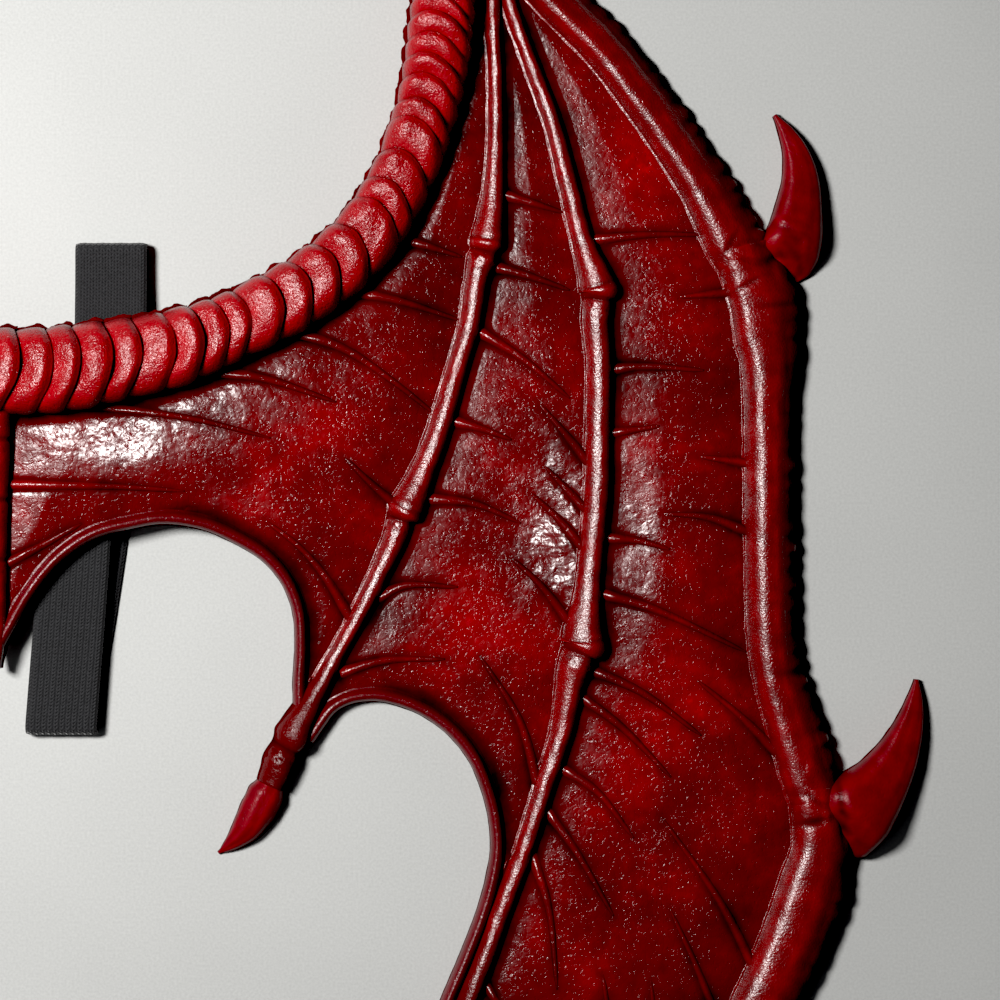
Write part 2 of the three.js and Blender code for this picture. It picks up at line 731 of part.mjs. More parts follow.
/** A solid as a named mesh, mirrored in the middle line for the left side. */
function meshOf(name, solid, material, mirrored = false) {
  const { vertProperties, triVerts, numProp } = solid.getMesh();
  const positions = [];
  for (let i = 0; i < vertProperties.length; i += numProp) {
    const [x, y, z] = vertProperties.subarray(i, i + 3);
    positions.push(mirrored ? -x : x, y, z);
  }
  const index = [];
  for (let i = 0; i < triVerts.length; i += 3) {
    const [a, b, c] = triVerts.subarray(i, i + 3);
    index.push(...(mirrored ? [a, c, b] : [a, b, c]));
  }
  const geometry = new THREE.BufferGeometry();
  geometry.setAttribute("position", new THREE.Float32BufferAttribute(positions, 3));
  geometry.setIndex(index);
  geometry.computeVertexNormals();
  const mesh = new THREE.Mesh(geometry, material);
  mesh.name = name;
  return mesh;
}

const material = Object.fromEntries(
  Object.entries(COLOURS).map(([name, look]) => [name, new THREE.MeshStandardMaterial(look)]),
);

// The forms of the right side in order of standing: each gives way to the ones before it.
const spine = bone(SPINE_ROWS, SPINE_WIDTH, SPINE_HEIGHT, SPINE_FULLNESS);
const finger = (rows) => bone(rows, FINGER_WIDTH, FINGER_HEIGHT, FINGER_FULLNESS);
const horn = (rows) => bone(rows, HORN_WIDTH, HORN_HEIGHT, HORN_FULLNESS);
const arm = armRoll();
const forms = [
  { name: "wrist", look: material.arm, ...wristKnob() },
  { name: "arm", look: material.arm, ...arm },
  { name: "finger_inner", look: material.bone, ...finger(INNER_FINGER_ROWS) },
  { name: "finger_middle", look: material.bone, ...finger(MIDDLE_FINGER_ROWS) },
  { name: "horn_upper", look: material.horn, ...horn(UPPER_HORN_ROWS) },
  { name: "horn_lower", look: material.horn, ...horn(LOWER_HORN_ROWS) },
  { name: "leading_bone_upper", look: material.bone, ...leadingBone(LEADING_UPPER_ROWS) },
  { name: "leading_bone_middle", look: material.bone, ...leadingBone(LEADING_MIDDLE_ROWS) },
  { name: "leading_bone_lower", look: material.bone, ...leadingBone(LEADING_LOWER_ROWS) },
  { name: "claw_inner", look: material.horn, ...claw(INNER_FINGER_ROWS) },
  { name: "claw_middle", look: material.horn, ...claw(MIDDLE_FINGER_ROWS) },
  { name: "claw_outer", look: material.horn, ...claw(LEADING_LOWER_ROWS) },
  { name: "hem_inner", look: material.hem, ...hem(INNER_HEM_ROWS) },
  { name: "hem_middle", look: material.hem, ...hem(MIDDLE_HEM_ROWS) },
  { name: "hem_outer", look: material.hem, ...hem(OUTER_HEM_ROWS) },
];

// Each membrane runs between the middles of the forms round it. A length of the leading bone starts
// inside the one before it, so the line leaves its first place out.
const above = (rows, end) => line(rows).filter((place) => place.y > end.rise * WING_HEIGHT);
const leadingLine = [LEADING_UPPER_ROWS, LEADING_MIDDLE_ROWS, LEADING_LOWER_ROWS].flatMap((rows) =>
  above(rows, OUTER_HEM_ROWS.at(-1)).slice(1),
);
const innerOutline = [
  ...line(ARM_ROWS).reverse(),
  ...line(INNER_HEM_ROWS),
  ...above(INNER_FINGER_ROWS, INNER_HEM_ROWS.at(-1)).reverse(),
];
const middleOutline = [
  ...above(INNER_FINGER_ROWS, MIDDLE_HEM_ROWS[0]),
  ...line(MIDDLE_HEM_ROWS),
  ...above(MIDDLE_FINGER_ROWS, MIDDLE_HEM_ROWS.at(-1)).reverse(),
];
const outerOutline = [
  ...above(MIDDLE_FINGER_ROWS, OUTER_HEM_ROWS[0]),
  ...line(OUTER_HEM_ROWS),
  ...leadingLine.reverse(),
];
const membranes = [
  { name: "membrane_inner", look: material.membrane, solid: membrane(innerOutline, INNER_VEINS) },
  { name: "membrane_middle", look: material.membrane, solid: membrane(middleOutline, MIDDLE_VEINS) },
  { name: "membrane_outer", look: material.membrane, solid: membrane(outerOutline, OUTER_VEINS) },
];

const leftOfMiddle = prism(
  [
    [CLEARANCE / 2, -WING_HEIGHT],
    [CLEARANCE / 2, WING_HEIGHT],
    [-HALF_SPAN, WING_HEIGHT],
    [-HALF_SPAN, -WING_HEIGHT],
  ].map(([x, y]) => new THREE.Vector3(x, y, 0)),
);

const wings = new THREE.Group();
wings.name = "dragon_wings";
const addPair = (name, solid, look) => {
  wings.add(meshOf(`${name}_right`, solid, look), meshOf(`${name}_left`, solid, look, true));
};
forms.forEach(({ name, solid, look }, i) => {
  const standing = forms.slice(0, i).map((form) => form.cutter);
  const beside = name.startsWith("hem") ? [spine.cutter] : [];
  addPair(name, cutBy(solid, [...standing, ...beside, leftOfMiddle]), look);
});
const cutters = [...forms.map((form) => form.cutter), spine.cutter, leftOfMiddle];
membranes.forEach(({ name, solid, look }) => addPair(name, cutBy(solid, cutters), look));
addPair("strap", strap(), material.strap);
const arms = [arm.cutter, arm.cutter.mirror([1, 0, 0])];
wings.add(meshOf("spine", cutBy(spine.solid, arms), material.bone));

// The origin is below the middle of the pair, on the ground.
const middle = new THREE.Box3().setFromObject(wings).getCenter(new THREE.Vector3());
wings.position.y = -middle.y;

export default wings;
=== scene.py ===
"""
Looks of a pair of costume dragon wings, cast in foam and painted, lying face up on a pale floor.

Places are counted in millimetres, as the part's source counts them, and become metres in the row
frame when a mesh is made. The right side is built and the left side is its mirror image.
"""

import json
import math

import bpy
import numpy as np
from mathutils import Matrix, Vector, kdtree, noise

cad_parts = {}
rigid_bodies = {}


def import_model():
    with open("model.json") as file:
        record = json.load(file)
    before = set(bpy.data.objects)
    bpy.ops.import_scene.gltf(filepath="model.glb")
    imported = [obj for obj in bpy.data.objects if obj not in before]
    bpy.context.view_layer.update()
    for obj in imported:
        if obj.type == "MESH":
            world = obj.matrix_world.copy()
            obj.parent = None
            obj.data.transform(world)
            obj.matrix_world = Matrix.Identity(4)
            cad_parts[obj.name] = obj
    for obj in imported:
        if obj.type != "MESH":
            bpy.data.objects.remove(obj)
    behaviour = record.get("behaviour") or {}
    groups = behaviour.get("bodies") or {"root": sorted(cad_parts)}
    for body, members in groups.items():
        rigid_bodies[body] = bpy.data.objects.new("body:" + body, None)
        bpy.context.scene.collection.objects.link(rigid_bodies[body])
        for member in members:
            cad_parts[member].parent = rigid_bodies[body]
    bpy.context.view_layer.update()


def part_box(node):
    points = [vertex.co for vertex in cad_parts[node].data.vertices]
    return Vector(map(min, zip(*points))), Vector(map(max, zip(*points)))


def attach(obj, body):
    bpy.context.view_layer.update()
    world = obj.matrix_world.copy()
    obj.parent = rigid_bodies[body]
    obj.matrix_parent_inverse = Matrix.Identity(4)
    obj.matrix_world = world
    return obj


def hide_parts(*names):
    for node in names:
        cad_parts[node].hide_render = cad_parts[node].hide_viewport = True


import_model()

HALF_SPAN = 324.0
WING_HEIGHT = 486.0
ARCH_HEIGHT, ARCH_RADIUS, ARCH_RISE = 12.0, 175.0, 0.115
ARM_WIDTH, ARM_HEIGHT = 31.0, 21.0
SCALE_LENGTH_AT_WRIST = 7.0
SCALE_STEP, SCALE_SWEEP, SCALE_APEX = 0.14, 6.3, 0.25
FINGER_FULLNESS, HORN_FULLNESS, SPINE_FULLNESS = 0.35, 0.2, 0.3
WRIST_RADIUS, WRIST_HEIGHT = 20.0, 17.0
FINGER_WIDTH, FINGER_HEIGHT = 12.0, 9.0
LEADING_WIDTH, LEADING_HEIGHT = 18.0, 11.5
HORN_WIDTH, HORN_HEIGHT = 19.0, 10.0
CLAW_LENGTH, CLAW_WIDTH, CLAW_HEIGHT = 29.0, 14.5, 8.0
SPINE_WIDTH, SPINE_HEIGHT = 16.0, 12.0
HEM_WIDTH, HEM_HEIGHT = 5.0, 6.0
MEMBRANE_THICKNESS, BILLOW_HEIGHT, BILLOW_REACH = 3.0, 3.0, 26.0
VEIN_WIDTH, VEIN_HEIGHT, VEIN_TAPER = 2.8, 1.6, 0.75
STRAP_WIDTH, STRAP_THICKNESS, STRAP_FOLD = 25.0, 1.8, 5.0
CLEARANCE = 0.4

GRID = 0.9  # pitch of a membrane's points
OUTLINE_SPARE = 0.2  # how far a membrane runs on past the middles of the forms round it
SKIRT = 1.15  # width of the fillet where a bone meets a membrane
TOOTH_PITCH = 7.2  # along the outer side of the leading bone
RIB_PITCH = 2.1  # of the elastic's ribs
LIP_THICKNESS = 0.9  # trimmed edge of the casting
BONE_LEAN = 0.29  # slope of a bone's crest towards the lamp
LEAN_RUN = 12.0  # how far from its middle a leaning place still falls towards the wrist
THINNEST = 1.4  # least thickness of a membrane
JOINT_LAP = 3.5  # how far two lengths of the leading bone run into each other
BACK_RECESS = 0.3  # a membrane's back stands this much above the bones' backs
LAMP_WAY = np.array((-0.95, 0.30))  # the way to the main lamp, seen from above
# Fillet of a bone's foot: share of the skirt's width, and of the rise from the sheet to the bone.
FILLET = [(1.0, -0.03), (0.78, 0.07), (0.56, 0.2), (0.34, 0.4), (0.16, 0.62)]

WRIST_PLACE = (0.526, 0.467)
ARM_ROWS = [
    (0.0, 0.156, 1.0), (0.065, 0.158, 1.0), (0.135, 0.165, 0.98), (0.205, 0.176, 0.9),
    (0.275, 0.196, 0.8), (0.34, 0.221, 0.81), (0.397, 0.256, 0.79), (0.434, 0.297, 0.75),
    (0.461, 0.347, 0.73), (0.473, 0.387, 0.75), (0.48, 0.425, 0.77), (0.488, 0.46, 0.74),
    (0.5, 0.482, 0.56),
]
INNER_FINGER_ROWS = [
    (0.537, 0.446, 0.47), (0.532, 0.425, 0.5), (0.535, 0.367, 0.52), (0.535, 0.317, 0.58),
    (0.532, 0.281, 0.73), (0.527, 0.255, 1.02), (0.525, 0.248, 1.02), (0.524, 0.244, 0.79),
    (0.521, 0.239, 0.93), (0.515, 0.225, 0.76), (0.508, 0.194, 0.7), (0.496, 0.166, 0.67),
    (0.472, 0.112, 0.73), (0.457, 0.086, 0.79), (0.445, 0.068, 0.96), (0.438, 0.058, 1.17),
    (0.433, 0.052, 0.82), (0.426, 0.037, 0.76), (0.41, 0.013, 0.64), (0.387, -0.018, 0.58),
    (0.363, -0.047, 0.55), (0.343, -0.072, 0.64), (0.326, -0.092, 0.93), (0.315, -0.107, 1.17),
    (0.309, -0.114, 0.88), (0.303, -0.122, 1.05), (0.297, -0.133, 0.96), (0.292, -0.141, 0.9),
]
MIDDLE_FINGER_ROWS = [
    (0.546, 0.446, 0.44), (0.55, 0.425, 0.47), (0.569, 0.387, 0.52), (0.596, 0.338, 0.58),
    (0.613, 0.295, 0.64), (0.629, 0.252, 0.7), (0.643, 0.225, 1.05), (0.647, 0.215, 1.22),
    (0.646, 0.21, 0.93), (0.644, 0.194, 0.88), (0.647, 0.166, 0.82), (0.646, 0.115, 0.79),
    (0.645, 0.072, 0.82), (0.638, 0.022, 0.82), (0.634, -0.007, 0.9), (0.63, -0.03, 1.28),
    (0.63, -0.04, 1.46), (0.626, -0.045, 1.05), (0.622, -0.053, 1.11), (0.616, -0.068, 0.88),
    (0.607, -0.101, 0.73), (0.59, -0.137, 0.64), (0.566, -0.187, 0.61), (0.542, -0.23, 0.64),
    (0.523, -0.266, 0.64), (0.499, -0.306, 0.7), (0.481, -0.335, 0.93), (0.467, -0.356, 1.22),
    (0.461, -0.364, 0.93), (0.456, -0.374, 1.08), (0.449, -0.387, 0.99),
]
LEADING_UPPER_ROWS = [
    (0.559, 0.452, 0.3, 0.45), (0.592, 0.425, 0.3, 0.62), (0.644, 0.39, 0.3, 0.66),
    (0.683, 0.357, 0.3, 0.68), (0.718, 0.324, 0.3, 0.68), (0.75, 0.292, 0.33, 0.68),
    (0.771, 0.266, 0.38, 0.74), (0.785, 0.245, 0.38, 0.8), (0.793, 0.236, 0.34, 0.82),
]
LEADING_MIDDLE_ROWS = [
    (0.792, 0.238, 0.34, 0.85), (0.805, 0.207, 0.3, 1.08), (0.812, 0.184, 0.33, 0.98),
    (0.82, 0.165, 0.36, 0.8), (0.823, 0.137, 0.36, 0.64), (0.824, 0.094, 0.36, 0.6),
    (0.825, 0.022, 0.36, 0.6), (0.828, -0.036, 0.36, 0.6), (0.834, -0.065, 0.34, 0.62),
    (0.846, -0.095, 0.34, 0.72), (0.862, -0.13, 0.38, 0.72), (0.872, -0.152, 0.34, 0.74),
]
LEADING_LOWER_ROWS = [
    (0.872, -0.15, 0.34, 0.74), (0.875, -0.184, 0.34, 0.84), (0.863, -0.21, 0.36, 0.98),
    (0.847, -0.241, 0.36, 0.98), (0.829, -0.27, 0.34, 0.95), (0.81, -0.297, 0.34, 0.88),
    (0.784, -0.331, 0.32, 0.74), (0.756, -0.367, 0.32, 0.56), (0.73, -0.4, 0.36, 0.42),
    (0.718, -0.415, 0.38, 0.38), (0.713, -0.422, 0.3, 0.3), (0.704, -0.433, 0.35, 0.35),
    (0.695, -0.445, 0.32, 0.32),
]
UPPER_HORN_ROWS = [
    (0.846, 0.222, 0.5), (0.849, 0.231, 0.95), (0.854, 0.243, 1.12), (0.860, 0.257, 1.05),
    (0.864, 0.275, 0.88), (0.866, 0.295, 0.7), (0.861, 0.315, 0.5), (0.851, 0.33, 0.3),
    (0.838, 0.343, 0.07),
]
LOWER_HORN_ROWS = [
    (0.89, -0.183, 0.9), (0.905, -0.173, 1.5), (0.93, -0.157, 1.45), (0.955, -0.137, 1.05),
    (0.974, -0.115, 0.75), (0.985, -0.095, 0.5), (0.99, -0.079, 0.3), (0.992, -0.065, 0.07),
]
SPINE_ROWS = [
    (0, 0.165, 1.0), (0, 0.108, 0.8), (0, 0.065, 0.66), (0, 0.022, 0.57), (0, -0.014, 0.48),
    (0, -0.04, 0.35), (0, -0.056, 0.12),
]
INNER_HEM_ROWS = [
    (0.0, -0.04), (0.036, 0.001), (0.067, 0.025), (0.103, 0.041), (0.14, 0.048), (0.178, 0.052),
    (0.221, 0.048), (0.259, 0.037), (0.289, 0.024), (0.311, 0.006), (0.323, -0.016),
    (0.325, -0.043), (0.323, -0.068), (0.324, -0.092),
]
MIDDLE_HEM_ROWS = [
    (0.333, -0.108), (0.344, -0.097), (0.358, -0.085), (0.378, -0.078), (0.406, -0.076),
    (0.434, -0.08), (0.464, -0.089), (0.491, -0.103), (0.513, -0.122), (0.527, -0.144),
    (0.535, -0.166), (0.537, -0.187), (0.532, -0.209), (0.522, -0.233), (0.503, -0.266),
    (0.478, -0.306), (0.466, -0.33),
]
OUTER_HEM_ROWS = [
    (0.475, -0.353), (0.502, -0.333), (0.535, -0.325), (0.578, -0.328), (0.626, -0.341),
    (0.67, -0.364), (0.7, -0.391), (0.716, -0.415),
]
INNER_VEINS = [
    [(0.436, 0.253), (0.499, 0.24)],
    [(0.383, 0.215), (0.432, 0.208), (0.499, 0.194)],
    [(0.318, 0.186), (0.373, 0.173), (0.427, 0.149), (0.473, 0.125)],
    [(0.24, 0.157), (0.292, 0.151), (0.364, 0.135)],
    [(0.004, 0.14), (0.135, 0.13), (0.216, 0.122), (0.294, 0.109)],
    [(0.004, 0.076), (0.135, 0.074), (0.202, 0.071)],
    [(0.43, 0.06), (0.402, 0.076), (0.373, 0.095)],
    [(0.38, -0.022), (0.352, 0.009), (0.322, 0.032), (0.287, 0.05)],
    [(0.004, 0.017), (0.049, 0.032), (0.092, 0.048)],
]
MIDDLE_VEINS = [
    [(0.54, 0.286), (0.61, 0.272)],
    [(0.531, 0.234), (0.572, 0.226), (0.616, 0.216)],
    [(0.516, 0.187), (0.564, 0.167), (0.616, 0.138)],
    [(0.488, 0.122), (0.521, 0.116), (0.553, 0.108)],
    [(0.46, 0.066), (0.513, 0.062), (0.563, 0.048)],
    [(0.404, -0.007), (0.437, 0.003), (0.495, 0.002)],
    [(0.367, -0.06), (0.416, -0.051), (0.481, -0.05)],
    [(0.637, 0.091), (0.61, 0.113), (0.583, 0.134)],
    [(0.637, 0.055), (0.613, 0.072), (0.589, 0.089)],
    [(0.634, 0.027), (0.605, 0.05), (0.573, 0.07)],
    [(0.619, -0.027), (0.586, 0.002), (0.553, 0.023)],
    [(0.581, -0.14), (0.562, -0.095), (0.518, -0.047)],
]
OUTER_VEINS = [
    [(0.633, 0.252), (0.702, 0.256), (0.762, 0.256)],
    [(0.797, 0.215), (0.734, 0.211)],
    [(0.651, 0.158), (0.691, 0.161), (0.761, 0.158)],
    [(0.65, 0.112), (0.713, 0.118)],
    [(0.812, 0.091), (0.756, 0.096)],
    [(0.812, 0.041), (0.767, 0.052), (0.716, 0.055)],
    [(0.645, 0.038), (0.692, 0.035), (0.724, 0.029)],
    [(0.64, -0.001), (0.707, -0.014), (0.807, -0.045)],
    [(0.631, -0.056), (0.691, -0.073), (0.758, -0.105)],
    [(0.618, -0.073), (0.67, -0.098), (0.725, -0.135)],
    [(0.594, -0.124), (0.644, -0.145), (0.685, -0.179)],
    [(0.581, -0.151), (0.621, -0.187), (0.663, -0.235)],
    [(0.568, -0.18), (0.592, -0.227), (0.602, -0.288)],
    [(0.849, -0.124), (0.805, -0.094), (0.753, -0.065)],
    [(0.826, -0.288), (0.78, -0.227), (0.714, -0.163)],
    [(0.791, -0.337), (0.756, -0.277), (0.724, -0.23)],
    [(0.516, -0.277), (0.54, -0.3), (0.564, -0.318)],
    [(0.683, -0.367), (0.664, -0.328), (0.651, -0.277)],
    [(0.717, -0.403), (0.712, -0.346), (0.703, -0.281)],
]
CLAW_ROWS = [
    (-0.02, 0, 0.7, 0.85), (0.1, 0, 0.95, 1.0), (0.34, 0.02, 0.93, 0.95), (0.6, 0.07, 0.76, 0.8),
    (0.82, 0.16, 0.42, 0.5), (1.0, 0.27, 0.08, 0.14),
]
STRAP_UPPER_ROWS = [
    (0.12, 0.14, 1.0), (0.12, 0.165, 1.0), (0.12, 0.192, 1.0), (0.12, 0.218, 0.6),
    (0.12, 0.233, 0.15), (0.12, 0.2435, 0.0),
]
STRAP_GROUND_ROWS = [
    (0.12, 0.2435), (0.12, 0.2), (0.116, 0.13), (0.1, 0.05), (0.082, -0.03), (0.068, -0.085),
    (0.066, -0.098),
]
STRAP_LOWER_ROWS = [
    (0.066, -0.098, 0.0), (0.068, -0.08, 0.0), (0.074, -0.03, 0.15), (0.08, 0.02, 0.55),
    (0.083, 0.05, 0.92), (0.084, 0.075, 1.0), (0.084, 0.1, 1.0),
]

# Where the membranes are wrinkled: across, rise, reach along X and Y in millimetres, and how steeply
# the wrinkles face the middle line.
WRINKLED = [
    (0.135, 0.112, 36.0, 17.0, 0.29),
    (0.27, 0.145, 24.0, 12.0, 0.20),
    (0.25, 0.056, 13.0, 8.0, 0.2),
    (0.604, 0.043, 13.0, 36.0, 0.52),
    (0.690, 0.02, 10.0, 42.0, 0.13),
    (0.43, 0.15, 20.0, 12.0, 0.06),
    (0.70, -0.2, 22.0, 28.0, 0.04),
]
# Where they lean: the same, and how steeply the place faces the middle line and the wrist.
LEANS = [
    (0.617, 0.045, 7.0, 42.0, 0.16, 0.06),
    (0.700, 0.02, 7.0, 46.0, 0.12, 0.06),
    (0.150, 0.105, 9.0, 17.0, 0.08, 0.06),
    (0.585, 0.165, 6.0, 15.0, 0.10, 0.0),
]
# Lumps of the membranes away from the bones: height, size and seed of the noise.
LUMPS = [(0.30, 18.0, 1.0), (0.14, 6.0, 2.0), (0.07, 2.4, 3.0)]
BONE_MOAT, ARM_MOAT, HEM_MOAT = (0.9, 1.8), (2.0, 3.0), (0.7, 1.8)  # depth and width
# Half of a vein's section: aside, as a share of its half width, and height above the sheet as a share.
VEIN_SECTION = [(1.5, -0.35), (1.15, 0.08), (0.7, 0.72), (0.25, 1.0)]
# Lengths of the scales along the arm from the middle, each with how deep its edge is cut.
SCALES = [
    (10.8, 1.0), (11.4, 1.0), (9.6, 0.9), (11.2, 1.1), (9.9, 1.0), (11.9, 1.0), (10.3, 1.0), (8.9, 0.9),
    (8.1, 1.2), (12.5, 1.0), (11.0, 1.0), (11.4, 1.2), (12.0, 0.9), (13.6, 0.7), (8.6, 0.6), (11.8, 1.3),
    (12.2, 0.6), (7.0, 1.2), (9.3, 1.1), (7.1, 0.9), (7.4, 0.8), (7.4, 0.9), (6.3, 0.9),
]
# Shares of a scale's length where its sections stand.
WITHIN_SCALE = [
    0, 0.03, 0.07, 0.13, 0.2, 0.29, 0.39, 0.49, 0.58, 0.66, 0.73, 0.79, 0.85, 0.9, 0.94, 0.97, 1,
]
# Folds and lumps of the leading bone's joints: across, rise, turn in degrees, half length, half width
# and height in millimetres.
JOINT_FOLDS = [
    (0.840, 0.240, 25.0, 5.0, 1.3, -1.0),
    (0.828, 0.253, -50.0, 5.0, 3.0, 1.2),
    (0.843, 0.229, -70.0, 4.5, 2.2, 1.3),
    (0.862, 0.240, -75.0, 6.0, 1.0, -0.8),
    (0.856, 0.252, 20.0, 5.0, 0.9, -0.6),
    (0.805, 0.219, 30.0, 4.5, 0.6, -1.0),
    (0.788, 0.248, 60.0, 4.0, 0.7, -1.0),
    (0.850, 0.264, -25.0, 5.0, 1.2, 0.9),
    (0.845, 0.205, 5.0, 6.0, 1.0, -0.7),
    (0.880, -0.166, 10.0, 7.0, 1.2, -1.1),
    (0.908, -0.160, -85.0, 10.0, 1.0, -1.3),
    (0.918, -0.203, -40.0, 4.0, 3.0, -1.4),
    (0.926, -0.151, -70.0, 8.0, 5.0, 0.8),
    (0.873, -0.128, 80.0, 2.5, 1.2, 0.6),
    (0.892, -0.162, 80.0, 2.5, 1.2, 0.6),
    (0.862, -0.060, 0.0, 7.0, 1.2, -0.6),
]
# Places where the airbrushed red is at its brightest: across, rise, reach, strength.
BRIGHT_PLACES = [
    (0.69, 0.305, 26.0, 1.0),
    (0.515, -0.025, 22.0, 1.0),
    (0.70, -0.09, 30.0, 0.8),
    (0.68, 0.09, 20.0, 0.6),
    (0.37, 0.125, 22.0, 0.8),
    (0.28, 0.085, 20.0, 0.5),
    (0.54, 0.09, 16.0, 0.4),
    (0.40, 0.05, 14.0, 0.6),
    (0.60, -0.26, 22.0, 0.7),
    (0.62, 0.2, 20.0, 0.4),
]

wrist_low, wrist_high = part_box("wrist_right")
SHIFT = WRIST_PLACE[1] * WING_HEIGHT - 500 * (wrist_low.y + wrist_high.y)


def smoothstep(value, low, high):
    share = np.clip((value - low) / (high - low), 0, 1)
    return share * share * (3 - 2 * share)


def blend(a, b, share):
    return a + (b - a) * share


def arch_at(x, y):
    """Height of the arched back above the floor."""
    away = np.hypot(x, y - ARCH_RISE * WING_HEIGHT) / ARCH_RADIUS
    return np.where(away < 1, ARCH_HEIGHT * np.cos(np.minimum(away, 1) * math.pi / 2) ** 2, 0.0)


def falloff(value, width, other=0.0, other_width=1.0):
    """1 in the middle of a place, and next to nothing twice its width away."""
    return np.exp(-((value / width) ** 2) - (other / other_width) ** 2)


def from_place(x, y, across, rise):
    """How far places are to the right of a named one, and above it."""
    return x - across * HALF_SPAN, y - rise * WING_HEIGHT


def noise_at(x, y, size, seed):
    """Soft noise, from -1 to 1, with features about `size` millimetres wide."""
    x, y = np.broadcast_arrays(x, y)
    flat = np.stack([x.ravel() / size + seed, y.ravel() / size, np.full(x.size, seed * 1.7)], 1)
    values = np.fromiter((noise.noise(p) for p in flat.tolist()), float, len(flat))
    return values.reshape(x.shape)


def raised(places, z):
    """Places with their height as the third coordinate."""
    return np.concatenate([places, z[..., None]], -1)


def smooth_line(control, steps=24):
    """A centripetal Catmull-Rom curve through places, with each point's place counted in rows."""
    padded = np.vstack([2 * control[0] - control[1], control, 2 * control[-1] - control[-2]])
    gaps = np.sqrt(np.linalg.norm(np.diff(padded, axis=0), axis=1))
    t = np.linspace(0, 1, steps, endpoint=False)[:, None]
    parts = []
    for i in range(len(control) - 1):
        p0, p1, p2, p3 = padded[i : i + 4]
        d0, d1, d2 = gaps[i : i + 3]
        m1 = ((p1 - p0) / d0 - (p2 - p0) / (d0 + d1) + (p2 - p1) / d1) * d1
        m2 = ((p2 - p1) / d1 - (p3 - p1) / (d1 + d2) + (p3 - p2) / d2) * d1
        parts.append(p1 + m1 * t + (3 * (p2 - p1) - 2 * m1 - m2) * t**2 + (2 * (p1 - p2) + m1 + m2) * t**3)
    points = np.vstack(parts + [control[-1:]])
    return points, np.arange(len(points)) / steps


class Route:
    """A smooth line in plan, in equal steps, that carries the other columns of its table along."""

    def __init__(self, rows, columns=(), step=0.8, unit=(HALF_SPAN, WING_HEIGHT)):
        rows = np.array(rows, float)
        fine, place = smooth_line(rows[:, :2] * unit)
        run = np.concatenate([[0], np.cumsum(np.linalg.norm(np.diff(fine, axis=0), axis=1))])
        self.length = np.linspace(0, run[-1], max(2, round(run[-1] / step)) + 1)
        self.place = np.interp(self.length, run, place)
        self.share = self.length / run[-1]
        self.centre = np.stack([np.interp(self.length, run, fine[:, k]) for k in (0, 1)], 1)
        tangent = np.gradient(self.centre, axis=0)
        self.tangent = tangent / np.linalg.norm(tangent, axis=1)[:, None]
        self.side = np.stack([self.tangent[:, 1], -self.tangent[:, 0]], 1)
        spread = max(1, round(1.6 / step))
        kernel = np.hanning(2 * spread + 3)[1:-1]
        kernel /= kernel.sum()
        for i, name in enumerate(columns):
            exact = np.interp(self.place, np.arange(len(rows)), rows[:, 2 + i])
            padded = np.pad(exact, spread, mode="edge")
            setattr(self, name, np.convolve(padded, kernel, mode="valid"))

    def length_at(self, place):
        return np.interp(place, self.place, self.length)

    def beside(self, aside, along=0.0):
        """Places to the right of the route, an array with a row for each step."""
        aside = np.asarray(aside)
        return (self.centre[:, None] + self.side[:, None] * aside[..., None]
                + self.tangent[:, None] * np.broadcast_to(along, aside.shape)[..., None])


